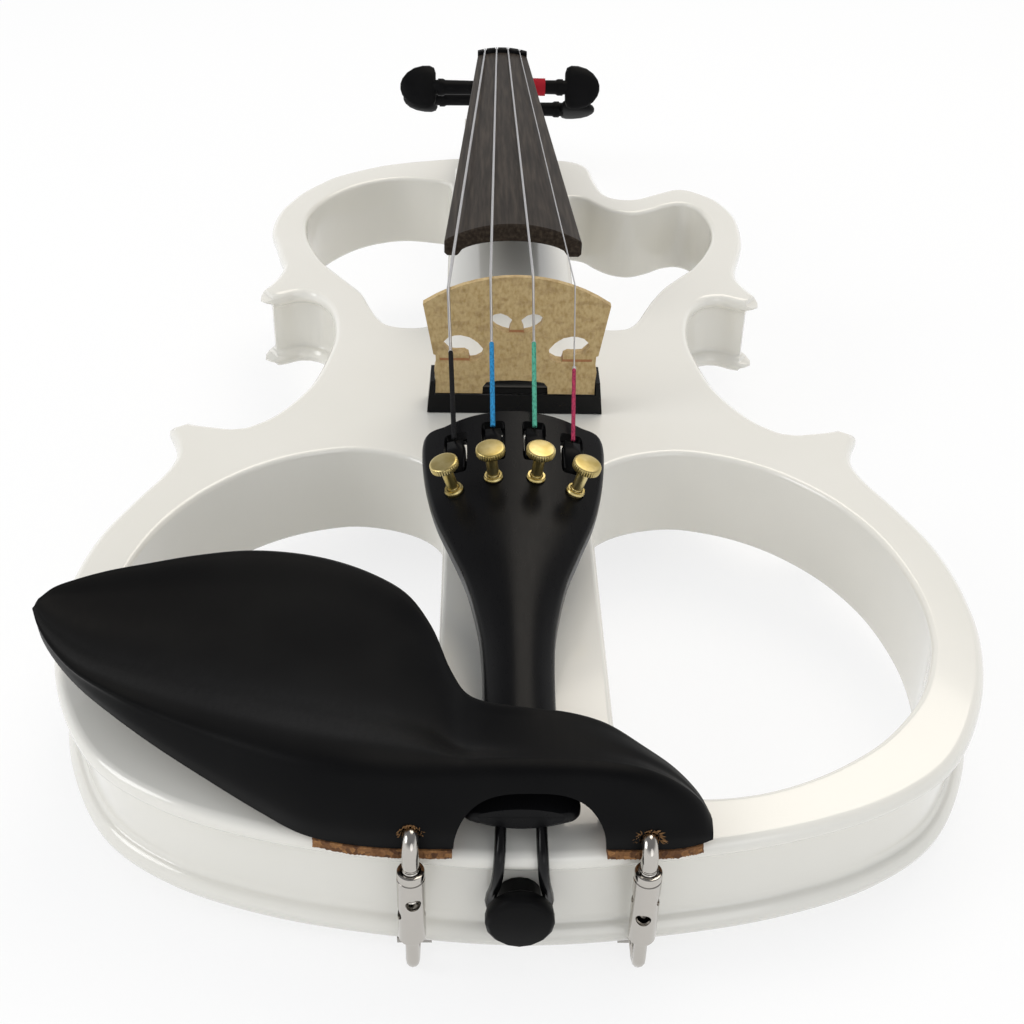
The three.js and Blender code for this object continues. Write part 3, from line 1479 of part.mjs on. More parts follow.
// Middle of a control on the panel, by column and by its offset along the instrument.
function controlPlace(column, row) {
  return [controlX + (column * controlSpacing) / 2, housingStation + row];
}

// Moulded panel with the walls that hold the battery and close the controls' bay.
function housingSolid() {
  const panel = box(housingWidth + 2 * panelMargin, housingLength + 2 * panelMargin, panelThickness);
  panel.translate(0, housingStation, panelTop - panelThickness / 2);
  const wallHeight = housingDepth + panelThickness / 2;
  const middle = panelTop + housingDepth - wallHeight / 2;
  const ends = [-1, 1].map((side) => {
    const wall = box(housingWidth, housingWall, wallHeight);
    return wall.translate(0, housingStation + (side * (housingLength - housingWall)) / 2, middle);
  });
  const inner = housingWidth / 2 - housingWall / 2;
  const cross = [-inner, -inner + batteryBayWidth + housingWall, inner].map((x) => {
    return box(housingWall, housingLength, wallHeight).translate(x, housingStation, middle);
  });
  const through = panelThickness + 2 * cutOverrun;
  const opening = box(doorWidth + 2 * doorGap, doorLength + 2 * doorGap, through);
  opening.translate(bayX, housingStation, panelTop);
  const round = (radius, [x, y]) => {
    const hole = standing(rod(radius, -through / 2, through / 2, plainSides));
    return hole.translate(x, y, panelTop);
  };
  const slotLength = switchCapLength + switchTravel + 2 * runningGap;
  const [sx, sy] = controlPlace(0, -panelMargin);
  const switchSlot = box(slotLength, switchCapWidth + 2 * runningGap, through);
  return cut(joined([panel, ...ends, ...cross]), [
    opening,
    round(knobShaftRadius + runningGap, controlPlace(-1, controlRow)),
    round(knobShaftRadius + runningGap, controlPlace(1, controlRow)),
    round(jackNeckRadius + seatGap, controlPlace(-1, -jackRow)),
    round(jackNeckRadius + seatGap, controlPlace(1, -jackRow)),
    switchSlot.translate(sx, sy, panelTop),
  ]);
}

// Door of the battery bay: a plate with a rounded hinge edge and a thumb lip at the other end.
function doorSolid() {
  const half = panelThickness / 2;
  const axis = panelTop - half;
  const start = housingStation - doorLength / 2 + half;
  const plate = box(doorWidth, doorLength - half, panelThickness);
  plate.translate(bayX, start + (doorLength - half) / 2, axis);
  const knuckle = toSide(rod(half, -doorWidth / 2, doorWidth / 2, plainSides), 1);
  knuckle.translate(bayX, start, axis);
  const lip = box(doorTabWidth, doorTabLength, panelThickness);
  const lipY = housingStation + doorLength / 2 - doorTabLength / 2;
  lip.translate(bayX, lipY, axis - doorTabDrop);
  return joined([plate, knuckle, lip]);
}

function batterySolid() {
  const bottom = panelTop + seatGap;
  const can = box(batteryWidth, batteryLength - snapHeight, batteryHeight);
  can.translate(bayX, housingStation - snapHeight / 2, bottom + batteryHeight / 2);
  const snaps = [-1, 1].map((side) => {
    const snap = rod(snapRadius, -joinDepth, snapHeight, plainSides);
    const y = housingStation + batteryLength / 2 - snapHeight;
    return snap.translate(bayX + (side * snapSpread) / 2, y, bottom + batteryHeight / 2);
  });
  return joined([can, ...snaps]);
}

// A fluted knob with its shaft reaching through the panel.
function knobSolid() {
  const shape = new THREE.Shape();
  for (let i = 0; i < knobFlutes * 2; i += 1) {
    const angle = (i / (knobFlutes * 2)) * Math.PI * 2;
    const radius = knobRadius - (i % 2 ? knobFluteDepth : 0);
    const [x, y] = [radius * Math.cos(angle), radius * Math.sin(angle)];
    if (i === 0) shape.moveTo(x, y);
    else shape.lineTo(x, y);
  }
  shape.closePath();
  const depth = knobHeight - knobRim;
  const grip = new THREE.ExtrudeGeometry(shape, { depth, bevelEnabled: false });
  grip.translate(0, 0, -runningGap - depth);
  const face = standing(turned([
    [0, -joinDepth],
    [knobRadius - knobRim, -joinDepth],
    [knobRadius - 2 * knobRim, knobRim],
    [0, knobRim],
  ], knobFlutes));
  face.rotateX(Math.PI).translate(0, 0, -runningGap - depth);
  const stub = panelThickness + 2 * runningGap;
  const shaft = standing(rod(knobShaftRadius, -stub, joinDepth, plainSides)).rotateX(Math.PI);
  return joined([grip, face, shaft.translate(0, 0, -runningGap)]);
}

function jackSolid() {
  const inner = panelThickness + boardThickness;
  return solid(standing(turned([
    [jackBoreRadius, -jackCollarHeight - seatGap],
    [jackCollarRadius - seatGap, -jackCollarHeight - seatGap],
    [jackCollarRadius, -jackCollarHeight / 2 - seatGap],
    [jackCollarRadius, -seatGap],
    [jackNeckRadius, -seatGap],
    [jackNeckRadius, inner],
    [jackBoreRadius, inner],
    [jackBoreRadius, -jackCollarHeight - seatGap],
  ], plainSides)));
}

function switchSolid() {
  const height = panelThickness + switchCapHeight;
  const cap = box(switchCapLength, switchCapWidth, height);
  return solid(cap.translate(0, 0, -switchCapHeight + height / 2));
}

// The board stands off the panel on its potentiometers, switch body and jack bodies.
function boardSolid() {
  const width = housingWidth - batteryBayWidth - 3 * housingWall - 2 * seatGap;
  const length = housingLength - 2 * housingWall - 2 * seatGap;
  const level = panelTop + boardDrop;
  const board = box(width, length, boardThickness).translate(controlX, housingStation, level);
  const pots = [-1, 1].map((column) => {
    const bottom = panelTop + 2 * runningGap;
    const pot = standing(rod(potRadius, 0, level - bottom, plainSides));
    const [x, y] = controlPlace(column, controlRow);
    return pot.translate(x, y, bottom);
  });
  const jackBottom = panelTop + boardThickness + 2 * seatGap;
  const jacks = [-1, 1].map((column) => {
    const [x, y] = controlPlace(column, -jackRow);
    const height = level - jackBottom;
    return box(jackBodyWidth, jackBodyWidth, height).translate(x, y, jackBottom + height / 2);
  });
  const [sx, sy] = controlPlace(0, -panelMargin);
  const switchBottom = panelTop + runningGap;
  const switchHeight = level - switchBottom;
  const switchBody = box(jackBodyWidth, switchCapWidth, switchHeight);
  switchBody.translate(sx, sy, switchBottom + switchHeight / 2);
  return joined([board, ...pots, ...jacks, switchBody]);
}

// Centre line and coil of one string: hook, bridge, nut and turns round its peg.
function stringKnots(name) {
  const { order, wire, silk } = stringKinds[name];
  const hook = point(0, leverNose + seatGap, silk + 2 * seatGap).applyMatrix4(tunerFrame(order));
  const ahead = stringAtBridge(order, wire);
  ahead.y += bridgeTopThickness / 2;
  const bridge = ahead.clone();
  bridge.y -= bridgeTopThickness;
  const nut = stringAtNut(order);
  const behind = nut.clone().setY(nutStation + nutThickness);
  const { along, depth, side } = pegPlaces[name];
  const radius = pegShaftRadius + wire + runningGap;
  const knots = [hook, bridge, ahead, nut, behind];
  for (let i = 0; i <= coilTurns * coilSteps; i += 1) {
    const angle = (i / coilSteps) * Math.PI * 2;
    const x = side * (coilStart + (coilPitch * i) / coilSteps);
    const y = along + radius * Math.sin(angle);
    knots.push(point(x, y, -depth + radius * Math.cos(angle)).applyMatrix4(pegboxFrame));
  }
  return knots;
}

function stringSolid(name) {
  const { wire, silk, silkStop } = stringKinds[name];
  const knots = stringKnots(name);
  const [hook, bridge] = knots;
  const stop = bridge.clone().sub(hook);
  stop.setLength(stop.length() - silkStop).add(hook);
  const step = stop.clone().sub(hook).setLength(silk);
  const inside = hook.clone().add(step);
  const wound = tube([hook, stop], silk, coarseSides);
  const plain = tube([inside, ...knots.slice(1)], wire, coarseSides);
  return joined([wound, plain]);
}

function finish(colour, roughness, metalness) {
  return new THREE.MeshStandardMaterial({ color: colour, roughness, metalness });
}

const whiteLacquer = finish(0xf1efe8, 0.12, 0);
const ebony = finish(0x1b1b1d, 0.5, 0);
const fingerboardEbony = finish(0x2a2624, 0.35, 0);
const blackNylon = finish(0x141415, 0.45, 0);
const maple = finish(0xb7a070, 0.6, 0);
const brass = finish(0xc9a552, 0.28, 1);
const nickel = finish(0xd8d8da, 0.14, 1);
const cork = finish(0x8a5f41, 0.95, 0);
const steel = finish(0xbfc0c2, 0.35, 1);
const redSilk = finish(0xb5243a, 0.8, 0);
const blackPlastic = finish(0x202123, 0.5, 0);
const batteryWrap = finish(0x6f7277, 0.4, 0.2);
const boardGreen = finish(0x2f5a38, 0.7, 0);
const ceramic = finish(0xb9b4a4, 0.5, 0);

const violin = new THREE.Group();

function place(name, body, material, matrix) {
  const mesh = new THREE.Mesh(geometryOf(body), material);
  mesh.name = name;
  if (matrix) {
    matrix.decompose(mesh.position, mesh.quaternion, mesh.scale);
  }
  violin.add(mesh);
  return mesh;
}

function placeAt(name, body, material, x, y, z) {
  return place(name, body, material, new THREE.Matrix4().makeTranslation(x, y, z));
}

place("body_frame", bodySolid(), whiteLacquer);
const neck = place("neck", neckSolid(), whiteLacquer);
place("fingerboard", fingerboardSolid(), fingerboardEbony);
place("nut", nutSolid(), ebony);

placeAt("pickup_bar", barSolid(), blackNylon, 0, bridgeStation + barBehind, seatGap);
const piezo = solid(box(piezoLength, piezoWidth, piezoHeight));
placeAt("piezo_strip", piezo, ceramic, 0, bridgeStation, barHeight - piezoHeight / 2);
placeAt("bridge", bridgeSolid(), maple, 0, bridgeStation, barHeight + 2 * seatGap);

place("tailpiece", tailpieceSolid(), ebony);
Object.entries(stringKinds).forEach(([name, { order }]) => {
  const frame = tunerFrame(order);
  const atScrew = frame.clone().multiply(new THREE.Matrix4().makeTranslation(0, -screwBehind, 0));
  const atHead = atScrew.clone();
  atHead.multiply(new THREE.Matrix4().makeTranslation(0, 0, screwShankAbove + seatGap));
  place(`tuner_lever_${name}`, leverSolid(), blackNylon, frame);
  place(`tuner_sleeve_${name}`, sleeveSolid(), brass, atScrew);
  place(`tuner_shank_${name}`, shankSolid(), brass, atScrew);
  place(`tuner_head_${name}`, screwHeadSolid(), brass, atHead);
});

place("end_button", buttonSolid(), ebony);
place("tail_cord", tailCordSolid(), blackNylon);

place("chin_rest", chinRestSolid(), ebony);
const corkFarLeft = -chinReach * chinFootReachShare;
const corkFarRight = chinReach * chinFootEndShare;
const corkNear = archHalfWidth + corkInset;
place("chin_cork_left", corkSolid(corkFarLeft, -corkNear, chinFootDepth), cork);
place("chin_cork_right", corkSolid(corkNear, corkFarRight, chinFootEndDepth), cork);
[["left", -1, 12], ["right", 1, 80]].forEach(([name, side, turnDegrees]) => {
  const x = side * clampX;
  place(`clamp_hook_${name}`, hookSolid(x), nickel);
  placeAt(`clamp_barrel_${name}`, barrelSolid(turnDegrees), nickel, x, clampY, -barrelTop);
  place(`clamp_foot_${name}`, clampFootSolid(x), nickel);
  place(`clamp_foot_cork_${name}`, footCorkSolid(x), cork);
});

Object.entries(pegPlaces).forEach(([name, { along, depth, side, turn }]) => {
  const seat = pegboxFrame.clone();
  seat.multiply(new THREE.Matrix4().makeTranslation(0, along, -depth));
  seat.multiply(new THREE.Matrix4().makeRotationX(degrees(pegboxPitch + turn - 90)));
  seat.multiply(new THREE.Matrix4().makeRotationZ((-side * Math.PI) / 2));
  place(`peg_${name}`, pegSolid(), ebony, seat);
  if (name === "e") {
    const beside = pegboxWidth(along) / 2 + 2 * runningGap;
    seat.multiply(new THREE.Matrix4().makeTranslation(0, beside, 0));
    place("string_silk_wrap_e", silkWrapSolid(), redSilk, seat);
  }
  place(`string_${name}`, stringSolid(name), steel);
});

place("preamp_housing", housingSolid(), blackPlastic);
place("battery_door", doorSolid(), blackPlastic);
place("battery", batterySolid(), batteryWrap);
place("circuit_board", boardSolid(), boardGreen);
placeAt("volume_knob", knobSolid(), blackPlastic, ...controlPlace(-1, controlRow), panelBottom);
placeAt("tone_knob", knobSolid(), blackPlastic, ...controlPlace(1, controlRow), panelBottom);
placeAt("line_out_jack", jackSolid(), nickel, ...controlPlace(-1, -jackRow), panelBottom);
placeAt("headphone_jack", jackSolid(), nickel, ...controlPlace(1, -jackRow), panelBottom);
const [switchX, switchY] = controlPlace(0, -panelMargin);
placeAt("power_switch", switchSolid(), blackPlastic, switchX - switchTravel / 2, switchY, panelBottom);

// The table line runs under the clamps' lower bends and the lowest part of the scroll.
function tableAngle() {
  const footLevel = -bodyThickness - seatGap - 2 * footRodRadius;
  const footY = clampY + footBend;
  const corners = neck.geometry.attributes.position;
  let angle = 0;
  for (let i = 0; i < corners.count; i += 1) {
    const beyond = corners.getY(i) - footY;
    if (beyond > 0) angle = Math.min(angle, Math.atan2(corners.getZ(i) - footLevel, beyond));
  }
  return angle;
}

const resting = new THREE.Group();
violin.rotation.x = -tableAngle();
resting.add(violin);
resting.updateMatrixWorld(true);
const bounds = new THREE.Box3().setFromObject(resting, true);
const middle = bounds.getCenter(new THREE.Vector3());
violin.position.set(-middle.x, -middle.y, -bounds.min.z);

export default resting;
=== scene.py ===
import json
import math

import bmesh
import bpy
import numpy as np
from mathutils import Euler, Matrix, Vector
from mathutils.geometry import delaunay_2d_cdt

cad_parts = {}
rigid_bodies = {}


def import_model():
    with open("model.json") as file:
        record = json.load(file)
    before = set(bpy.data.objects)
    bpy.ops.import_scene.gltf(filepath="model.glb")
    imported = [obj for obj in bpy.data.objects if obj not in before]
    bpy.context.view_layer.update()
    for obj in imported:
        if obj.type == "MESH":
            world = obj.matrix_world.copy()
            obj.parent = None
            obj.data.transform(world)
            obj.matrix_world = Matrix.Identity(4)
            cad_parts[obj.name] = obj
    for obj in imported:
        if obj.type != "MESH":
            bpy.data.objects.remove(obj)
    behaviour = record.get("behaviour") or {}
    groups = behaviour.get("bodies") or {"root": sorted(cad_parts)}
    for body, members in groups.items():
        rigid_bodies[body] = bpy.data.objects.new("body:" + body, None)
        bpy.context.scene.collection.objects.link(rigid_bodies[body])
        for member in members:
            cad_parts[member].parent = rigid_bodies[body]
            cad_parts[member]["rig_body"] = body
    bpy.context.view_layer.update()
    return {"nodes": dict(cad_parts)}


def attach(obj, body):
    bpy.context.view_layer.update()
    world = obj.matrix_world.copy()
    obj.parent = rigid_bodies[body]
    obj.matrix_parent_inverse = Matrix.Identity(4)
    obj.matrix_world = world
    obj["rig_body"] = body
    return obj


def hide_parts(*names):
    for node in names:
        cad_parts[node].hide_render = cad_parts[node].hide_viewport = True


# Electric violin on its back. Sizes below are millimetres in the instrument's own frame:
# X across the strings, Y from tail to scroll, Z up from the front of the body.
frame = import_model()
nodes = frame["nodes"]
print("frame loaded:", len(nodes), "nodes")

# Placing and meshing.
lying = dict(tilt=4.63995, shiftY=-285.53749, shiftZ=29.34962)
tiltMatrix = Matrix.Rotation(math.radians(lying["tilt"]), 4, "X")
instrument = Matrix.Translation((0, lying["shiftY"], lying["shiftZ"])) @ tiltMatrix


# How near two points are to count as one, in metres, and the least length of a step.
weld = dict(made=2e-6, cad=3e-6, sliver=1e-6, step=1e-9)


def lerp(a, b, t):
    return a + (b - a) * t


def circle(count):
    return np.linspace(0, 2 * np.pi, count, endpoint=False)


def unit(vectors):
    return vectors / np.linalg.norm(vectors, axis=1, keepdims=True)


def toRow(points, local=None):
    # row = shift + turn(tilt) * local frame * point, in metres
    matrix = np.array(instrument if local is None else instrument @ local)
    points = np.asarray(points, float)
    return (points @ matrix[:3, :3].T + matrix[:3, 3]) / 1000


def newObject(name, data):
    piece = bpy.data.objects.new(name, data)
    bpy.context.scene.collection.objects.link(piece)
    return piece


def meshObject(name, verts, faces, local=None):
    mesh = bpy.data.meshes.new(name)
    mesh.from_pydata(toRow(verts, local).tolist(), [], [list(f) for f in faces])
    shape = bmesh.new()
    shape.from_mesh(mesh)
    bmesh.ops.remove_doubles(shape, verts=shape.verts, dist=weld["made"])
    bmesh.ops.recalc_face_normals(shape, faces=shape.faces)
    if shape.calc_volume(signed=True) < 0:
        bmesh.ops.reverse_faces(shape, faces=shape.faces)
    shape.to_mesh(mesh)
    shape.free()
    return newObject(name, mesh)


def joinParts(*parts):
    # several (verts, faces) put into one pair, with the indices moved on
    verts, faces, count = [], [], 0
    for v, f in parts:
        verts.append(np.asarray(v, float).reshape(-1, 3))
        faces += [[int(i) + count for i in one] for one in f]
        count += len(verts[-1])
    return np.concatenate(verts), faces


def grid(x, y, z):
    return np.stack(np.broadcast_arrays(x, y, z), 2)


def tubePart(rings, caps=True):
    # rings is steps x around x 3, each ring closed; caps close both ends
    rings = np.asarray(rings)
    steps, around = rings.shape[:2]
    r, c = (a.ravel() for a in np.meshgrid(np.arange(steps - 1), np.arange(around), indexing="ij"))
    here, beside = r * around, (c + 1) % around
    faces = np.c_[here + c, here + around + c, here + around + beside, here + beside].tolist()
    if caps:
        faces += [list(range(around))[::-1], list(range((steps - 1) * around, steps * around))]
    return rings.reshape(-1, 3), faces


def lathePart(profile, sides, caps=True):
    # profile of radius and height, turned about Z: (r cos a, r sin a, h); a hollow piece has
    # a profile that closes on itself and no caps
    profile = np.asarray(profile, float)
    a = circle(sides)
    r, h = profile[:, :1], profile[:, 1:]
    return tubePart(grid(r * np.cos(a), r * np.sin(a), h), caps)


def sweptPart(path, radius, sides):
    # round section carried along the path without twisting; the radius may change on the way
    path = np.asarray(path, float)
    along = unit(np.gradient(path, axis=0))
    side = np.cross(along[0], (1, 0, 0))
    a = circle(sides)[:, None]
    rings = []
    for centre, t, r in zip(path, along, np.broadcast_to(radius, len(path))):
        side = side - t * np.dot(side, t)
        side /= np.linalg.norm(side)
        rings.append(centre + r * (np.cos(a) * side + np.sin(a) * np.cross(t, side)))
    return tubePart(rings)


def curvePoint(p0, p1, p2, p3, d0, d1, d2, t):
    # centripetal Catmull-Rom curve from p1 to p2, where each d is the root of a gap
    m = ((p1 - p0) / d0 - (p2 - p0) / (d0 + d1) + (p2 - p1) / d1) * d1
    n = ((p2 - p1) / d1 - (p3 - p1) / (d1 + d2) + (p3 - p2) / d2) * d1
    return p1 + m * t + (3 * p2 - 3 * p1 - 2 * m - n) * t**2 + (2 * p1 - 2 * p2 + m + n) * t**3


def roundLoop(points, step):
    # a closed curve through the points, sampled about every step
    points = np.asarray(points, float)
    p = [np.roll(points, shift, 0) for shift in (1, 0, -1, -2)]
    d = [((b - a) ** 2).sum(1, keepdims=True) ** 0.25 + weld["step"] for a, b in zip(p, p[1:])]
    parts = np.maximum(1, np.round(d[1][:, 0] ** 2 / step)).astype(int)
    which = np.repeat(np.arange(len(points)), parts)
    t = (np.arange(parts.sum()) - np.repeat(np.cumsum(parts) - parts, parts)) / np.repeat(parts, parts)
    return curvePoint(*(v[which] for v in p + d), t[:, None])


def resample(tracks, count):
    # each column of control points, tracks[i, j], carried smoothly to count rows
    tracks = np.asarray(tracks, float)
    rows = np.linspace(0, len(tracks) - 1, count)
    i = np.minimum(rows.astype(int), len(tracks) - 2)
    ends = np.concatenate([2 * tracks[:1] - tracks[1:2], tracks, 2 * tracks[-1:] - tracks[-2:-1]])
    gap = np.linalg.norm(np.diff(ends, axis=0), axis=2, keepdims=True) ** 0.5 + weld["step"]
    four, three = [ends[i + k] for k in range(4)], [gap[i + k] for k in range(3)]
    return curvePoint(*four, *three, (rows - i)[:, None, None])


def atHeight(loop, height):
    return np.c_[loop, np.full(len(loop), height)]


def insetLoop(loop, inset, share=0.985):
    # every point moved by inset along its inward normal; one that ends up nearer to the loop
    # than this share of the inset closes up on its nearest neighbour that keeps the distance
    if inset == 0:
        return loop
    back, on = loop - np.roll(loop, 1, 0), np.roll(loop, -1, 0) - loop
    along = unit(unit(back) + unit(on))
    area = np.sum(loop[:, 0] * np.roll(loop[:, 1], -1) - np.roll(loop[:, 0], -1) * loop[:, 1])
    moved = loop + np.sign(area) * inset * np.c_[-along[:, 1], along[:, 0]]
    edge = (np.roll(loop, -1, 0) - loop)[None]
    away = moved[:, None] - loop[None]
    part = np.clip((away * edge).sum(2) / (edge**2).sum(2), 0, 1)
    near = np.linalg.norm(away - edge * part[..., None], axis=2).min(1)
    good = np.flatnonzero(near >= abs(inset) * share)
    gap = np.abs(np.arange(len(loop))[:, None] - good[None])
    gap = np.minimum(gap, len(loop) - gap)
    return moved[good[gap.argmin(1)]]


def flatWithHoles(loops, height):
    # one face in the plane of the height, inside the first loop and outside the others
    points = np.concatenate(loops)
    edges, start = [], 0
    for loop in loops:
        count = len(loop)
        edges += [(start + i, start + (i + 1) % count) for i in range(count)]
        start += count
    flat = delaunay_2d_cdt([Vector(p) for p in points.tolist()], edges, [], 0, weld["sliver"])
    xy = np.array([tuple(v) for v in flat[0]])
    faces = np.array([f for f in flat[2] if len(f) == 3])
    middle = xy[faces].mean(1)

    def inside(loop):
        x, y = middle[:, :1], middle[:, 1:]
        x0, y0, (x1, y1) = loop[:, 0], loop[:, 1], np.roll(loop, -1, 0).T
        across = (y0 > y) != (y1 > y)
        at = x0 + (y - y0) / np.where(y1 == y0, 1, y1 - y0) * (x1 - x0)
        return (across & (x < at)).sum(1) % 2 == 1

    keep = inside(loops[0])
    for hole in loops[1:]:
        keep &= ~inside(hole)
    return atHeight(xy, height), faces[keep].tolist()


def shadeSmooth(piece, angle, weighted=True):
    # smooth faces, with edges sharper than the angle kept crisp and big faces kept flat
    mesh = piece.data
    mesh.polygons.foreach_set("use_smooth", np.ones(len(mesh.polygons), bool))
    mesh.set_sharp_from_angle(angle=math.radians(angle))
    if weighted:
        modifier = piece.modifiers.new("even shading", "WEIGHTED_NORMAL")
        modifier.keep_sharp, modifier.weight = True, 60


def bevel(piece, width, angle):
    modifier = piece.modifiers.new("eased edges", "BEVEL")
    modifier.width, modifier.segments = width / 1000, 2
    modifier.limit_method, modifier.angle_limit = "ANGLE", math.radians(angle)
    return piece


def cutAway(piece, tools):
    # takes the tools out of the piece and bakes the result into its mesh
    for tool in tools:
        modifier = piece.modifiers.new("cut", "BOOLEAN")
        modifier.operation, modifier.solver, modifier.object = "DIFFERENCE", "EXACT", tool
    baked = bpy.data.meshes.new_from_object(piece.evaluated_get(bpy.context.evaluated_depsgraph_get()))
    piece.modifiers.clear()
    piece.data = baked
    for tool in tools:
        bpy.data.objects.remove(tool)
    return piece


def dress(piece, angle, finish, *stands, body=None, weighted=True):
    # the piece rides the body that is given, or that of the first CAD node it stands for
    shadeSmooth(piece, angle, weighted)
    body = body or nodes[stands[0]]["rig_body"]
    piece.data.materials.clear()
    piece.data.materials.append(finishes[finish])
    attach(piece, body)
    if stands:
        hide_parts(*stands)


def nodePoints(node):
    # a CAD node's points in the instrument's own frame
    back = np.linalg.inv(np.array(instrument))
    points = np.array([nodes[node].matrix_world @ v.co for v in nodes[node].data.vertices]) * 1000
    return points @ back[:3, :3].T + back[:3, 3]


def softened(node, angle, finish, weighted=True):
    # a merged copy of a CAD node, shaded smoothly, in place of its loose triangles
    mesh = nodes[node].data.copy()
    shape = bmesh.new()
    shape.from_mesh(mesh)
    bmesh.ops.remove_doubles(shape, verts=shape.verts, dist=weld["cad"])
    bmesh.ops.dissolve_degenerate(shape, edges=shape.edges, dist=weld["sliver"])
    shape.to_mesh(mesh)
    shape.free()
    parts = node.split("_")
    piece = newObject(parts[0] + "".join(p.capitalize() for p in parts[1:]), mesh)
    dress(piece, angle, finish, node, weighted=weighted)


# Materials.
def linear(hexColour):
    # sRGB hex to linear: c / 12.92 below 0.04045, else ((c + 0.055) / 1.055) ** 2.4
    c = np.array([int(hexColour[i:i + 2], 16) for i in (1, 3, 5)]) / 255
    return (*np.where(c <= 0.04045, c / 12.92, ((c + 0.055) / 1.055) ** 2.4), 1.0)


def addNode(tree, kind, links=None, **settings):
    # settings name a property or an input of the node, links an input and its source: a socket,
    # or a node for its first output
    node = tree.nodes.new("ShaderNode" + kind)
    for key, value in settings.items():
        if isinstance(value, str) and value.startswith("#"):
            value = linear(value)
        if hasattr(node, key):
            setattr(node, key, value)
        else:
            name = key.replace("_", " ").lower()
            next(s for s in node.inputs if s.name.lower() == name and s.enabled).default_value = value
    for key, source in (links or {}).items():
        tree.links.new(getattr(source, "outputs", [source])[0], node.inputs[key])
    return node


def maths(tree, operation, *values):
    # each value is a number or the socket it comes from
    node = addNode(tree, "Math", operation=operation)
    for slot, value in zip(node.inputs, values):
        if isinstance(value, (int, float)):
            slot.default_value = value
        else:
            tree.links.new(value, slot)
    return node.outputs[0]


def surfaceMaterial(name, make):
    material = bpy.data.materials.new(name)
    material.use_nodes = True
    tree = material.node_tree
    tree.nodes.clear()
    place = addNode(tree, "TexCoord").outputs["Object"]
    output = addNode(tree, "OutputMaterial")
    tree.links.new(make(tree, place).outputs[0], output.inputs["Surface"])
    return material


def pattern(tree, place, size, kind, stretch=(1, 1, 1), **more):
    # a pattern whose features are about size millimetres across
    mapped = addNode(tree, "Mapping", {"Vector": place}, Scale=tuple(1000 / size / s for s in stretch))
    return addNode(tree, kind, {"Vector": mapped}, Scale=1.0, **more)


def noise(tree, place, size, detail=3, stretch=(1, 1, 1)):
    return pattern(tree, place, size, "TexNoise", stretch, Detail=detail)


def ramp(tree, source, *stops):
    node = addNode(tree, "ValToRGB", {"Fac": source})
    elements = node.color_ramp.elements
    for i, (at, colour) in enumerate(stops):
        element = elements[i] if i < len(elements) else elements.new(at)
        element.position, element.color = at, linear(colour)
    return node


def bumped(tree, height, distance, strength):
    # relief this many millimetres deep
    return addNode(tree, "Bump", {"Height": height}, Distance=distance / 1000, Strength=strength)


def between(tree, source, low, high):
    # a value that follows the pattern from low to high
    return addNode(tree, "MapRange", {"Value": source}, To_Min=low, To_Max=high)


def painted(tree, links, **settings):
    return addNode(tree, "BsdfPrincipled", links, **settings)


def glazed(tree, links, shine=0.5, **settings):
    # wood, plastic and lacquer; the shine scales what they mirror
    return painted(tree, links, IOR=1.5, Specular_IOR_Level=shine, **settings)


def lacquer(tree, place):
    # white polyester lacquer, sprayed and buffed: deep gloss with a faint orange peel
    tone = ramp(tree, noise(tree, place, 60), (0.3, "#e7e4da"), (0.7, "#ebe8df"))
    peel = bumped(tree, noise(tree, place, 2.6, 2), 0.012, 0.35)
    return glazed(tree, {"Base Color": tone, "Normal": peel}, Roughness=0.2, Coat_Weight=0.7,
                  Coat_Roughness=0.06)


def blackWood(rough, shade, light, shine):
    def make(tree, place):
        # ebonised hardwood, scraped and oiled: satin, fine pores along the grain
        grain = noise(tree, place, 0.9, 4, (1, 14, 1))
        cloud = noise(tree, place, 22, 2)
        tone = ramp(tree, cloud, (0.35, shade), (0.7, light))
        pores = bumped(tree, grain, 0.02, 0.5)
        wear = between(tree, grain, rough - 0.05, rough + 0.07)
        return glazed(tree, {"Base Color": tone, "Normal": pores, "Roughness": wear}, shine)
    return make


def fingerboardWood(tree, place):
    # stained rosewood, planed and polished by fingers: brown black, long grain
    grain = noise(tree, place, 1.1, 5, (1, 30, 1))
    tone = ramp(tree, grain, (0.3, "#241e19"), (0.52, "#342d27"), (0.74, "#463e35"))
    lines = bumped(tree, grain, 0.02, 0.5)
    return glazed(tree, {"Base Color": tone, "Normal": lines}, 0.05, Roughness=0.5)


# Bridge: its station, and the painted shade lines' height above the body's front, with from where to
# where they run on both sides of the middle. Each line is painted shade where the slit under a wing
# or under the heart lies in shadow.
bridgeStation = 166.4
slitShade = dict(lines=[(16.6, 12.7, 21), (25.3, 0, 2.1)], half=0.38, strength=0.75)


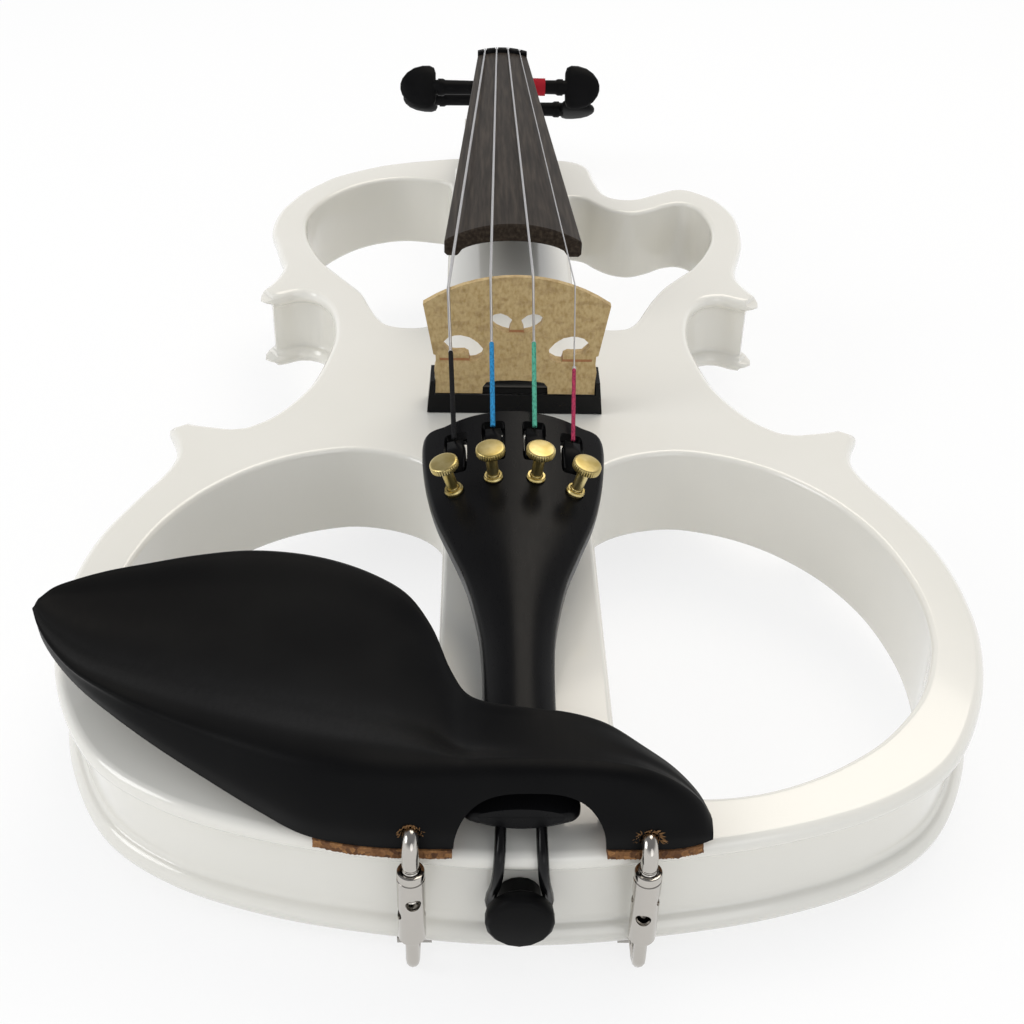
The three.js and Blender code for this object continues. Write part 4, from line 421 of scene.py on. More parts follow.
def maple(tree, place):
    # bridge maple, cut on the quarter and left bare: a mottled ground with soft dark ray
    # flecks, and a reddish painted shade line in the slit under each wing and under the heart
    grain = noise(tree, place, 0.8, 4, (1, 1, 1.6))
    flecks = noise(tree, place, 3.4, 5, (1, 1, 0.6))
    base = ramp(tree, grain, (0.3, "#ad925f"), (0.5, "#bca374"), (0.7, "#c6ae80"))
    dark = ramp(tree, flecks, (0.33, "#94744a"), (0.5, "#ffffff"))
    mix = {"Color1": base, "Color2": dark}
    tone = addNode(tree, "MixRGB", mix, blend_type="MULTIPLY", Fac=0.3)
    split = addNode(tree, "SeparateXYZ", {"Vector": place}).outputs
    across = maths(tree, "ABSOLUTE", split["X"])
    for height, inner, outer in slitShade["lines"]:
        # 1 inside the line: half a line's width about its height, between inner and outer
        level = (instrument @ Vector((0, bridgeStation, height))).z / 1000
        near = maths(tree, "COMPARE", split["Z"], level, slitShade["half"] / 1000)
        wide = maths(tree, "COMPARE", across, (inner + outer) / 2000, (outer - inner) / 2000)
        line = maths(tree, "MULTIPLY", maths(tree, "MULTIPLY", near, wide), slitShade["strength"])
        # painted shade: the slit's shadow mixed over the maple as a reddish brown line
        tone = addNode(tree, "MixRGB", {"Fac": line, "Color1": tone}, Color2="#9a5a36")
    pores = bumped(tree, grain, 0.03, 0.4)
    return glazed(tree, {"Base Color": tone, "Normal": pores}, 0.3, Roughness=0.6)


def plastic(shade, rough, grit=0.5, depth=0.012, shine=0.5):
    def make(tree, place):
        # moulded plastic: the fine spark texture of the mould
        spark = bumped(tree, noise(tree, place, grit, 2), depth, 0.6)
        wear = between(tree, noise(tree, place, 12), rough - 0.05, rough + 0.06)
        return glazed(tree, {"Normal": spark, "Roughness": wear}, shine, Base_Color=shade)
    return make


def brass(tree, place):
    # turned brass, polished and lightly lacquered
    tarnish = ramp(tree, noise(tree, place, 3.5, 3), (0.35, "#bba766"), (0.7, "#d5c58f"))
    marks = bumped(tree, noise(tree, place, 0.35, 2), 0.004, 0.5)
    return painted(tree, {"Base Color": tarnish, "Normal": marks}, Metallic=1.0, Roughness=0.33)


def nickel(tree, place):
    # bright nickel plate over turned steel
    haze = between(tree, noise(tree, place, 2.2), 0.08, 0.2)
    return painted(tree, {"Roughness": haze}, Base_Color="#bdb9b3", Metallic=1.0)


def cork(tree, place):
    # sheet cork, cut with a knife: brown granules with darker gaps
    cells = pattern(tree, place, 1.1, "TexVoronoi")
    speck = noise(tree, place, 0.5, 3)
    granule = ramp(tree, cells.outputs["Color"], (0.15, "#4f3019"), (0.5, "#855a32"), (0.85, "#bb8750"))
    tone = addNode(tree, "MixRGB", {"Color1": granule, "Fac": speck}, Color2="#5a3a20")
    rough = bumped(tree, cells.outputs["Distance"], 0.25, 0.8)
    return painted(tree, {"Base Color": tone, "Normal": rough}, Roughness=0.9)


def printedBoard(tree, place):
    # green solder mask over copper tracks
    tracks = pattern(tree, place, 3, "TexBrick", Color1="#2f6a3c", Color2="#27583a", Mortar="#3f8a4c")
    return glazed(tree, {"Base Color": tracks}, Roughness=0.4)


def canLabel(tree, place):
    # battery can, printed plain: dark band and a copper end
    height = addNode(tree, "SeparateXYZ", {"Vector": place}).outputs["Y"]
    band = addNode(tree, "MapRange", {"Value": height}, From_Min=-0.12, From_Max=-0.119)
    tone = ramp(tree, band, (0.4, "#24262a"), (0.6, "#b8773f"))
    return painted(tree, {"Base Color": tone}, Roughness=0.35, Metallic=0.3)


# Finishes: the material's name and what makes it.
finishes = {
    "lacquer": ("polyesterLacquerWhite", lacquer),
    "fingerboard": ("stainedRosewood", fingerboardWood),
    "ebony": ("ebonisedWoodSatin", blackWood(0.42, "#0c0c0d", "#121212", 0.06)),
    "tail": ("ebonisedWoodRubbed", blackWood(0.28, "#0c0c0d", "#111112", 0.09)),
    "pegs": ("ebonisedWoodMatt", blackWood(0.45, "#0c0c0d", "#121213", 0.06)),
    "abs": ("mouldedPlasticBlack", plastic("#0c0c0d", 0.28, shine=0.16)),
    "lever": ("mouldedPlasticMatt", plastic("#0b0b0c", 0.4, shine=0.06)),
    "fibre": ("tornWoodFibre", plastic("#94714c", 0.9, shine=0.1)),
    "housing": ("mouldedPlasticDark", plastic("#17181a", 0.5, 0.8, 0.02, 0.3)),
    "cord": ("nylonCordBlack", plastic("#09090a", 0.22, 0.7, 0.01, 0.22)),
    "piezo": ("piezoStripJacket", plastic("#0b0b0c", 0.5, shine=0.05)),
    "maple": ("bareMaple", maple),
    "brass": ("polishedBrass", brass),
    "nickel": ("nickelPlate", nickel),
    "cork": ("sheetCork", cork),
    "board": ("solderMaskGreen", printedBoard),
    "battery": ("batteryCan", canLabel),
    "silk": ("silkRed", plastic("#a3202c", 0.8, shine=0.15)),
}
finishes = {key: surfaceMaterial(*value) for key, value in finishes.items()}
print("materials made:", len(finishes))

# Body: front, back, walls and the crowned ridge under the fingerboard.
bodySizes = dict(
    length=361, thickness=26.5, lowerBout=212, waist=109, upperBout=166.5, lowerSpine=37.5,
    upperSpine=41.6, flange=5, flangeRound=2.3, underRound=2.1, ribInset=3, cove=2, cutoutRound=1.5,
    step=2.2, ridgeHeight=6.4, ridgeMargin=1.2, ridgeStart=176, ridgeRise=44, ridgeEnd=348,
    bay=(88.5, 56.5), bayStation=180, bayCeiling=4)
# Outline points, in ten thousandths of half the part's width and of the body's length.
boutShares = [
    (2453, 61), (4906, 202), (6887, 424), (8302, 734), (9340, 1247), (9906, 1828), (10000, 2327),
    (9764, 2867), (9245, 3310), (8726, 3684), (8585, 3906), (8726, 4100), (8962, 4266), (8991, 4330),
    (8868, 4377), (8623, 4391)]
waistShares = [
    (16180, 4360), (14940, 4321), (14310, 4307), (13720, 4324), (13170, 4385), (12570, 4471),
    (11760, 4662), (11160, 4853), (10700, 5050), (10110, 5601), (10040, 5878), (10330, 6222),
    (10860, 6457), (11780, 6620), (12680, 6643), (13580, 6571)]
cornerShares = [(9441, 6543), (9682, 6582), (9718, 6654), (9562, 6742), (9321, 6889)]
upperLeftShares = [
    (9165, 7044), (9117, 7202), (9321, 7377), (9706, 7737), (9934, 7922), (10010, 8183), (9850, 8510),
    (9562, 8717), (9213, 8931), (8637, 9152), (7916, 9380), (6799, 9587), (5730, 9742), (4637, 9839),
    (3520, 9909), (2402, 9972)]
upperRightShares = [
    (9153, 7050), (9177, 7202), (9285, 7341), (9706, 7706), (9874, 7892), (9994, 8227), (9958, 8504),
    (9670, 8759), (9321, 8939), (8817, 9069), (8240, 9175), (7640, 9194), (7039, 9119), (6318, 9003),
    (5718, 8917), (5261, 8898), (4829, 8925), (4444, 9019), (4156, 9271), (4012, 9493), (3916, 9695),
    (3664, 9839), (3171, 9925), (2402, 9972)]
lowerHoleShares = [
    (2160, 3767), (2915, 3920), (4113, 4000), (5009, 3953), (5802, 3861), (6575, 3715), (7340, 3499),
    (7934, 3258), (8443, 2947), (8764, 2593), (8906, 2233), (8830, 1867), (8547, 1571), (8142, 1310),
    (7604, 1091), (6972, 898), (6264, 745), (5585, 629), (4745, 526), (3962, 471), (3160, 457),
    (2311, 512)]
lowerSpineShares = [(10000, 665), (10000, 942), (10000, 2000), (10000, 3047), (10000, 3545)]
leftHoleShares = [
    (3339, 5997), (4192, 5992), (4673, 6044), (5045, 6175), (5393, 6377), (5802, 6648), (6294, 6834),
    (6907, 7044), (7556, 7283), (8036, 7551), (8360, 7795), (8553, 8047), (8589, 8307), (8336, 8579),
    (7772, 8842), (6919, 9102), (5958, 9271), (4745, 9363), (3435, 9324), (2679, 9252)]
rightHoleShares = [
    (3411, 5997), (4240, 6011), (4709, 6133), (5093, 6343), (5502, 6573), (6030, 6812), (6679, 7025),
    (7327, 7224), (7796, 7424), (8168, 7620), (8529, 7873), (8709, 8191), (8601, 8476), (8288, 8698),
    (7760, 8798), (7087, 8753), (6342, 8620), (5441, 8529), (4649, 8582), (4036, 8709), (3411, 8892),
    (2703, 8927)]
upperSpineShares = [
    (10000, 8726), (10000, 8033), (10000, 7313), (10000, 6648), (10300, 6260), (11200, 6081)]


def placed(shares, half):
    return np.array(shares) / 10000 * (half, bodySizes["length"])


def roundedEdge(radius, steps):
    # quarter circle from the flat face to the wall: inset r (1 - sin a), depth r (1 - cos a)
    a = np.linspace(0, np.pi / 2, steps)
    return np.c_[radius * (1 - np.sin(a)), -radius * (1 - np.cos(a))]


def wallPart(loop, levels):
    # the loop moved in by each level's inset, at that level's height
    rings = [atHeight(insetLoop(loop, inset), height) for inset, height in levels]
    return tubePart(rings, False), rings[0][:, :2], rings[-1][:, :2]


def buildBody():
    s = bodySizes
    bout, upper = s["lowerBout"] / 2, s["upperBout"] / 2
    common = [placed(boutShares, bout), placed(waistShares, s["waist"] / 2), placed(cornerShares, upper)]
    right = np.concatenate(common + [placed(upperRightShares, upper)])
    left = (np.concatenate(common + [placed(upperLeftShares, upper)]) * (-1, 1))[::-1]
    plan = roundLoop(np.concatenate([[(0, 0)], right, [(0, s["length"])], left]), s["step"])
    plan[:, 0] = np.clip(plan[:, 0], -bout, bout)
    plan[:, 1] = np.clip(plan[:, 1], 0, s["length"])
    spine = placed(lowerSpineShares, s["lowerSpine"] / 2)
    lower = np.concatenate([spine, placed(lowerHoleShares, bout)])
    spine = placed(upperSpineShares, s["upperSpine"] / 2)
    rightHole = np.concatenate([spine, placed(rightHoleShares, upper)])
    leftHole = np.concatenate([spine, placed(leftHoleShares, upper)]) * (-1, 1)
    holes = [roundLoop(h, s["step"]) for h in (lower, lower * (-1, 1), rightHole, leftHole)]
    # outer wall: rounded flange, cove, recessed rib and the same again up from the back
    cove = np.linspace(0, 1, 5)[1:]
    bend, under, flange = cove * np.pi / 2, s["underRound"], s["flange"]
    half = np.concatenate([
        roundedEdge(s["flangeRound"], 6), [(0, under - flange)],
        np.c_[under * cove, under - flange - under * np.sin(bend)],
        np.c_[lerp(under, s["ribInset"], np.sin(bend)), -flange - s["cove"] * (1 - np.cos(bend))]])
    levels = np.concatenate([half, (half * (1, -1) - (0, s["thickness"]))[::-1]])
    flare = roundedEdge(s["cutoutRound"], 5)
    flare = np.concatenate([flare, (flare * (1, -1) - (0, s["thickness"]))[::-1]]) * (-1, 1)
    walls = [wallPart(plan, levels)] + [wallPart(hole, flare) for hole in holes]
    parts, fronts, backs = (list(kind) for kind in zip(*walls))
    # the bay for the preamp housing is a plain pocket in the back
    w, l = s["bay"][0] / 2, s["bay"][1] / 2
    bay = np.array([(-w, -l), (w, -l), (w, l), (-w, l)]) + (0, s["bayStation"])
    pocket = [atHeight(bay, -s["thickness"]), atHeight(bay, -s["bayCeiling"])]
    verts, faces = tubePart(pocket, False)
    parts += [(verts, faces + [[7, 6, 5, 4]]), flatWithHoles(fronts, 0)]
    parts.append(flatWithHoles(backs + [bay], -s["thickness"]))
    return meshObject("bodyShell", *joinParts(*parts))


def buildRidge():
    # crowned strip on the upper spine: height H (1 - cos(pi u)) / 2 along, times 1 - v^2 across
    s = bodySizes
    u, v = np.meshgrid(np.linspace(0, 1, 40), np.linspace(-1, 1, 41), indexing="ij")
    half = s["upperSpine"] / 2 - s["ridgeMargin"]
    height = s["ridgeHeight"] * (1 - np.cos(np.pi * u)) / 2 * (1 - v**2)
    top = grid(half * v, s["ridgeStart"] + s["ridgeRise"] * u, height)
    end = top[-1:] + (0, s["ridgeEnd"] - s["ridgeStart"] - s["ridgeRise"], 0)
    top = np.concatenate([top, end])
    under = top[:, ::-1] * (1, 1, 0) - (0, 0, 1)
    return meshObject("ridge", *tubePart(np.concatenate([top, under], 1)))


dress(buildBody(), 50, "lacquer", "body_frame")
dress(buildRidge(), 50, "lacquer", body="body")
print("body made")

# Fingerboard.
board = dict(
    start=221.4, end=491.15, length=270, endWidth=42, nutWidth=23, edge=5, radius=42, ease=0.9,
    high=21.5, low=-5.5, hollowRim=4, hollowRise=5, hollowLength=128)


def boardUnder(station):
    return lerp(board["high"], board["low"], (station - board["start"]) / board["length"])


def arcDrop(radius, x):
    return radius - np.sqrt(radius * radius - x * x)


def buildFingerboard():
    # an arched section on a straight taper; under the free end an elliptical hollow
    # whose rise falls to nothing along its length
    b = board
    y = np.linspace(b["start"], b["end"], 60)[:, None]
    half = lerp(b["endWidth"], b["nutWidth"], (y - b["start"]) / b["length"]) / 2
    under = boardUnder(y)
    side = np.linspace(1, -1, 33)[None]
    crown = arcDrop(b["radius"], half) - arcDrop(b["radius"], half * side)
    top = grid(half * side, y, under + b["edge"] + crown)
    ease = b["ease"]
    rim = half - b["hollowRim"]
    rise = np.clip(b["hollowRise"] * (1 - (y - b["start"]) / b["hollowLength"]), 0.02, None)
    arch = np.linspace(-1, 1, 25)[None]
    low = grid(rim * arch, y, under + rise * np.sqrt(np.clip(1 - arch**2, 0, 1)))
    rings = np.concatenate([top, grid(-half, y, under + ease), grid(ease - half, y, under), low,
                            grid(half - ease, y, under), grid(half, y, under + ease)], 1)
    return meshObject("fingerboardBlank", *tubePart(rings))


dress(bevel(buildFingerboard(), 0.5, 50), 40, "fingerboard", "fingerboard")
print("fingerboard made")

# Chin rest.
chin = dict(
    reach=103, depth=77, height=18.5, thick=5.6, edge=4, foot=14, archHalf=14.4, archHeight=14,
    archRise=3.4, archLength=44, archPower=0.68, clampX=22.3, hookLeft=6.4, hookRight=5.2, hole=1.9,
    holeEnd=8.9)
# Sections, in thousandths: across, front, low, crest, crest height, dish height, far edge, its
# height, foot.
chinShares = np.array([
    (-1000, 675, 811, 662, 1000, 973, 727, 946, 100),
    (-976, 604, 768, 591, 995, 908, 773, 973, 100),
    (-932, 519, 714, 500, 984, 822, 818, 973, 120),
    (-874, 435, 649, 416, 962, 735, 864, 962, 140),
    (-796, 352, 557, 357, 908, 659, 909, 941, 170),
    (-709, 272, 449, 305, 865, 605, 955, 919, 200),
    (-602, 186, 314, 240, 865, 573, 994, 886, 250),
    (-505, 108, 216, 182, 908, 562, 1000, 843, 400),
    (-417, 44, 151, 136, 946, 573, 981, 800, 800),
    (-330, 14, 141, 104, 973, 595, 929, 768, 1000),
    (-252, 2, 141, 91, 973, 627, 844, 746, 1000),
    (-194, 0, 141, 86, 978, 670, 695, 746, 1000),
    (-150, 0, 141, 83, 984, 724, 494, 778, 1000),
    (-117, 0, 141, 81, 984, 811, 383, 843, 1000),
    (-78, 0, 141, 81, 995, 897, 331, 919, 1000),
    (0, 0, 141, 81, 1000, 973, 292, 984, 1000),
    (78, 0, 141, 82, 989, 973, 283, 951, 1000),
    (146, 0, 141, 84, 951, 919, 266, 865, 950),
    (214, 0, 141, 86, 865, 822, 218, 730, 700),
    (272, 4, 141, 86, 692, 649, 175, 584, 480),
    (316, 20, 141, 81, 476, 432, 130, 405, 280),
    (338, 34, 141, 73, 270, 249, 97, 238, 140)]) / 1000


def buildChinRest():
    # each section runs from the front of the foot over the crest and the dish to the far
    # edge and back underneath
    c = chin
    across, front, low, crest, high, dish, far, farHigh, foot = chinShares.T
    x = across * c["reach"]
    y0, y1, y2 = front * c["depth"], crest * c["depth"], far * c["depth"]
    z0, z1, zd, z2 = (v * c["height"] for v in (low, high, dish, farHigh))
    under = np.maximum(z0, zd - c["thick"])
    back = np.minimum(y0 + c["foot"] * foot, lerp(y0, y2, 0.8))
    rise = np.minimum(back + c["edge"] * foot, lerp(back, y2, 0.5))
    edge = np.minimum(c["edge"], (z2 - z0) * 0.8)
    section = [(y0, z0), (lerp(y0, y1, 0.12) - (z1 - z0) * 0.04, lerp(z0, z1, 0.35)),
               (lerp(y0, y1, 0.45), lerp(z0, z1, 0.75)), (lerp(y0, y1, 0.8), lerp(z0, z1, 0.95)),
               (y1 + (y2 - y1) * 0.06, z1), (lerp(y1, y2, 0.16), lerp(z1, zd, 0.25)),
               (lerp(y1, y2, 0.34), lerp(z1, zd, 0.85)), (lerp(y1, y2, 0.55), zd),
               (lerp(y1, y2, 0.8), lerp(zd, z2, 0.5)), (lerp(y1, y2, 0.97), z2), (y2, z2 - edge * 0.35),
               (lerp(y1, y2, 0.97), z2 - edge), (lerp(rise, y2, 0.6), lerp(under, z2 - edge, 0.45)),
               (rise, under), (back, z0)]
    tracks = np.array([np.c_[x, y, z] for y, z in section]).transpose(1, 0, 2)
    sections = resample(tracks, 127)
    rings = resample(sections.transpose(1, 0, 2), 85).transpose(1, 0, 2)
    return meshObject("chinRestPlate", *tubePart(rings))


def archTool():
    # superelliptic tunnel over the tail: x = w |cos a|^p, z = h sin(a)^p
    c = chin
    a = np.linspace(0, np.pi, 41)
    x = c["archHalf"] * np.sign(np.cos(a)) * np.abs(np.cos(a)) ** c["archPower"]
    ring = np.c_[x, np.clip(np.sin(a), 0, 1) ** c["archPower"]]
    rings = []
    for station, height in ((-3, c["archHeight"]), (c["archLength"], c["archHeight"] + c["archRise"])):
        arc = np.c_[ring[:, 0], np.full(len(a), station), ring[:, 1] * height]
        rings.append(np.concatenate([arc, [(-c["archHalf"], station, -3), (c["archHalf"], station, -3)]]))
    return meshObject("archTool", *tubePart(rings))


def rodTool(radius, start, end, local):
    # a cylinder along the local Z, its ends closed at the axis
    axis = 1e-4
    profile = [(axis, start), (radius, start), (radius, end), (axis, end)]
    return meshObject("rodTool", *lathePart(profile, 32), local)


alongX, alongY = Matrix.Rotation(math.pi / 2, 4, "Y"), Matrix.Rotation(-math.pi / 2, 4, "X")
holes = [rodTool(chin["hole"], -3, chin["holeEnd"], Matrix.Translation((x, 0, z)) @ alongY)
         for x, z in ((-chin["clampX"], chin["hookLeft"]), (chin["clampX"], chin["hookRight"]))]
plate = cutAway(buildChinRest(), [archTool()] + holes)
dress(bevel(plate, 0.5, 45), 45, "ebony", "chin_rest")
print("chin rest made")

# Tailpiece. Slot and pocket: width, length, middle, from and to. Rail: inner and outer side,
# start and end, low and high. All are measured from where a string hooks on.
tail = dict(
    station=3.6, shift=1.6, length=119.4, width=45, tailHeight=12, headHeight=25, round=0.9, sink=2.6,
    sinkShare=0.14, crown=5.3, thick=8.2, outerSpread=28.4, innerSpread=10, outerHook=111.5,
    innerHook=114, slot=(4.3, 15, -2.5, -7.5, -2.7), pocket=(5.9, 15.3, -2.45, -2.69, 7.5),
    rail=(1.95, 2.35, -8.5, -1, -1.3, -0.1), screw=-16.6, hole=2.3)
# Sections, in thousandths: along, half width, crown, thickness in the middle and at the edge.
tailShares = np.array([
    (0, 360, 250, 620, 200), (9, 470, 400, 780, 260), (25, 500, 480, 860, 340),
    (53, 475, 520, 920, 460), (100, 385, 560, 970, 600), (165, 335, 600, 1000, 580),
    (270, 330, 640, 1000, 560), (370, 352, 640, 970, 540), (455, 415, 680, 920, 510),
    (530, 503, 720, 850, 490), (615, 650, 790, 750, 460), (725, 840, 900, 620, 420),
    (840, 955, 980, 550, 400), (925, 995, 1000, 520, 400), (960, 985, 970, 520, 400),
    (980, 780, 610, 500, 400), (994, 490, 240, 460, 400), (1000, 200, 40, 420, 400)]) / 1000
orders = {"g": -1.5, "d": -0.5, "a": 0.5, "e": 1.5}


def tailTop(station):
    share = (station - tail["station"]) / tail["length"]
    sink = np.clip(1 - share / tail["sinkShare"], 0, None) ** 2
    return lerp(tail["tailHeight"], tail["headHeight"], share) - tail["sink"] * sink


def tunerFrame(name):
    # on the crowned top at one string's hook: Y along the top, Z out of it
    order = orders[name]
    outer = abs(order) > 1
    offset = math.copysign(tail["outerSpread"] if outer else tail["innerSpread"], order) / 2
    station = tail["outerHook"] if outer else tail["innerHook"]
    half = tail["width"] / 2
    lean = math.atan(2 * tail["crown"] * offset / half**2)
    pitch = math.atan((tail["headHeight"] - tail["tailHeight"]) / tail["length"])
    height = float(tailTop(station)) - tail["crown"] * (offset / half) ** 2
    turn = Matrix.Rotation(pitch, 4, "X") @ Matrix.Rotation(lean, 4, "Y")
    return Matrix.Translation((offset - tail["shift"], station, height)) @ turn


def screwFrame(name):
    return tunerFrame(name) @ Matrix.Translation((0, tail["screw"], 0))


def buildTailpiece():
    # top: z = top(y) - crown s^2; the underside lies lower by the section's thickness
    along, width, crown, centre, edge = (v[:, None] for v in resample(tailShares[:, None], 150)[:, 0].T)
    y = tail["station"] + np.clip(along, 0, 1) * tail["length"]
    half = width * tail["width"] / 2
    r = tail["round"]
    a = np.linspace(np.pi / 2, 0, 5)[None]
    inner = np.linspace(1, -1, 41)[None]

    def level(x, lift, thickness):
        s = x / half
        deep = thickness * lerp(edge, centre, 1 - s * s) * tail["thick"]
        return tailTop(y) - crown * tail["crown"] * s * s - deep + lift

    flat = (half - r) * inner
    bend, fall = half - r * (1 - np.sin(a)), r * (1 - np.cos(a))
    rings = []
    for x, lift, thickness in (
            (flat, 0, 0), (-bend[:, ::-1], -fall[:, ::-1], 0), (-bend, fall, 1),
            (-flat, 0, 1), (bend[:, ::-1], fall[:, ::-1], 1), (bend, -fall, 0)):
        rings.append(grid(x - tail["shift"], y, level(x, lift, thickness)))
    return meshObject("tailpieceBlank", *tubePart(np.concatenate(rings, 1)))


def slotTool(name):
    # a way through for the lever under a wider pocket: superellipses |x/w|^8 + |y/l|^8 = 1
    a = circle(24)
    x = np.sign(np.cos(a)) * np.abs(np.cos(a)) ** 0.25
    y = np.sign(np.sin(a)) * np.abs(np.sin(a)) ** 0.25
    rings = []
    for width, length, middle, *ends in (tail["slot"], tail["pocket"]):
        for z in ends:
            rings.append(atHeight(np.c_[width / 2 * x, length / 2 * y + middle], z))
    return meshObject("slotTool", *tubePart(rings), tunerFrame(name))


blank = buildTailpiece()
tools = [slotTool(n) for n in orders]
tools += [rodTool(tail["hole"], -8, 8, screwFrame(n)) for n in orders]
cutAway(blank, tools)
dress(blank, 45, "tail", "tailpiece")


def buildRails(name):
    # the flat sides of a lever, just under the tailpiece's top
    near, far, start, end, *levels = tail["rail"]
    sides = []
    for x, x1 in ((near, far), (-far, -near)):
        plan = np.array([(x, start), (x1, start), (x1, end), (x, end)])
        sides.append(tubePart([atHeight(plan, z) for z in levels]))
    return meshObject("leverRails" + name.upper(), *joinParts(*sides), tunerFrame(name))


for name in orders:
    dress(bevel(buildRails(name), 0.15, 50), 40, "lever", body=nodes["tuner_lever_" + name]["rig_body"])
print("tailpiece made")

# Fine tuners: knurled head, plain shank and flared sleeve.
screw = dict(
    shank=1.4, above=7, below=-6.35, head=3.45, thick=1.7, crown=0.13, teeth=34, knurl=0.17,
    sleeve=2.05, flange=2.3, rise=0.7, bore=1.6, sunk=-4.3, gap=0.25, plain=1.6, pitch=0.45,
    thread=0.06)


def buildHead(name):
    # knurled disc: radius R - k (1 - |cos(n a / 2)|) on the rim, eased to the round crown
    s = screw
    a = circle(s["teeth"] * 6)
    knurl = s["knurl"] * (1 - np.abs(np.cos(a * s["teeth"] / 2)))
    rim, thick = s["head"], s["thick"]
    # height, radius and share of the knurl
    levels = np.array([
        (0, 0.02, 0), (0, 1.5, 0), (0, rim - 0.3, 0), (0.12, rim - 0.08, 0.5), (0.3, rim, 1),
        (thick - 0.35, rim, 1), (thick - 0.15, rim - 0.08, 0.4), (thick, rim - 0.3, 0),
        (thick + 0.06, rim - 0.5, 0), (thick + 0.08, rim - 0.65, 0), (thick + s["crown"], 0.02, 0)])
    levels[:, 0] += s["above"] + s["gap"]
    radius = levels[:, 1:2] - levels[:, 2:3] * knurl
    rings = grid(radius * np.cos(a), radius * np.sin(a), levels[:, :1])
    return meshObject("tunerHead" + name.upper(), *tubePart(rings), screwFrame(name))


def buildShank(name):
    # turned pin, plain above and threaded below: radius r - t (1 + cos(2 pi h / pitch))
    s = screw
    h = np.linspace(s["below"], s["above"], 240)
    ease = np.clip(np.minimum(h - s["below"], s["plain"] - h) / 0.4, 0, 1)
    radius = s["shank"] - s["thread"] * ease * (1 + np.cos(2 * np.pi * h / s["pitch"]))
    profile = np.c_[radius, h]
    profile = np.concatenate([[(0.02, h[0])], profile, [(0.02, h[-1])]])
    return meshObject("tunerShank" + name.upper(), *lathePart(profile, 20), screwFrame(name))


def buildSleeve(name):
    # pressed-in tube with a flare: cosine from the flange to the tube
    s = screw
    u = np.linspace(0, 1, 9)
    bore, tube, low, gap = s["bore"], s["sleeve"], s["sunk"], s["gap"]
    flare = np.c_[lerp(tube, s["flange"], (1 + np.cos(np.pi * u)) / 2), gap + s["rise"] * u]
    profile = np.concatenate([[(bore, low), (tube, low), (tube, gap)], flare,
                              [(bore, gap + s["rise"]), (bore, low)]])
    return meshObject("tunerSleeve" + name.upper(), *lathePart(profile, 32, False), screwFrame(name))


for name in orders:
    for build, node in ((buildHead, "head"), (buildShank, "shank"), (buildSleeve, "sleeve")):
        dress(build(name), 40, "brass", f"tuner_{node}_{name}")
print("fine tuners made")

# Strings.
# The silk's dye, light and dark, and how far before the bridge the silk stops.
winding = dict(pitch=0.5, deep=0.04, height=35, twist=0.6, threads=(2600, 900, 2600))
strings = {
    "g": ("#151517", "#09090a", 24), "d": ("#2c86ba", "#1f6790", 24), "a": ("#52a48a", "#3a806b", 24),
    "e": ("#a83453", "#7c2440", 30)}


def woundString(name):
    light, dark, stop = strings[name]

    def make(tree, place):
        # flat-wound steel with dyed silk over its tail end; the winding is drawn coarse
        # enough to show
        w = winding
        along = addNode(tree, "SeparateXYZ", {"Vector": place}).outputs["Y"]
        edge = (instrument @ Vector((0, bridgeStation - stop, w["height"]))).y / 1000
        bare = maths(tree, "GREATER_THAN", along, edge)
        wave = maths(tree, "SINE", maths(tree, "MULTIPLY", along, 2000 * math.pi / w["pitch"]))
        relief = bumped(tree, wave, w["deep"], 0.6)
        turn = (0, 0, w["twist"])
        twist = addNode(tree, "Mapping", {"Vector": place}, Rotation=turn, Scale=w["threads"])
        threads = addNode(tree, "TexNoise", {"Vector": twist}, Scale=1.0, Detail=2.0)
        dye = ramp(tree, threads, (0.36, dark), (0.54, light))
        cloth = glazed(tree, {"Normal": relief, "Base Color": dye}, 0.2, Roughness=0.85)
        metal = painted(tree, {"Normal": relief}, Base_Color="#bfbfc1", Metallic=1.0, Roughness=0.36)
        return addNode(tree, "MixShader", {0: bare, 1: cloth, 2: metal})

    return surfaceMaterial("woundSteel" + name.upper(), make)


for name in strings:
    finishes[name] = woundString(name)
    softened("string_" + name, 60, name)
print("strings dressed")

# Silk of the E string, wound on its peg.
wrap = dict(length=10.8, pitch=0.55, thread=0.16, wall=0.45)


def buildWrap():
    # close turns side by side along X, as thick as the CAD's wrap: radius
    # r - t + t |sin(pi x / pitch)|
    w = wrap
    points = nodePoints("string_silk_wrap_e")
    low, high = points.min(0), points.max(0)
    outer = (high[2] - low[2]) / 2
    h = np.linspace(0, w["length"], 300)
    ripple = outer - w["thread"] + w["thread"] * np.abs(np.sin(np.pi * h / w["pitch"]))
    inner = outer - w["wall"]
    profile = np.concatenate([[(inner, 0)], np.c_[ripple, h], [(inner, w["length"]), (inner, 0)]])
    place = Matrix.Translation((low[0], (low[1] + high[1]) / 2, (low[2] + high[2]) / 2))
    return meshObject("silkWrap", *lathePart(profile, 24, False), place @ alongX)


dress(buildWrap(), 60, "silk", "string_silk_wrap_e")

# Chin-rest clamps: hook with its thread, barrel with a collar and two cross holes, cork and torn wood.
clamp = dict(
    spread=44.6, off=2.5, rod=1.65, bend=2.7, reach=8.6, end=-8, pitch=0.7, threadEnd=0.7, runOut=0.4,
    ease=0.13, thread=0.09, top=-0.3, length=18.7, radius=2.7, bore=1.95, hole=1.5, holeShare=0.38,
    holeStep=4, rim=0.45, groove=1.6, grooveDeep=0.17, turn=dict(left=12, right=80),
    height=dict(left=6.4, right=5.2))
corkPads = {
    "left": (-41, -14.7, 14, 14), "right": (14.7, 33, 14, 3.5), "inset": 0.3, "low": 0.27, "high": 2.37,
    "ragged": 0.13}
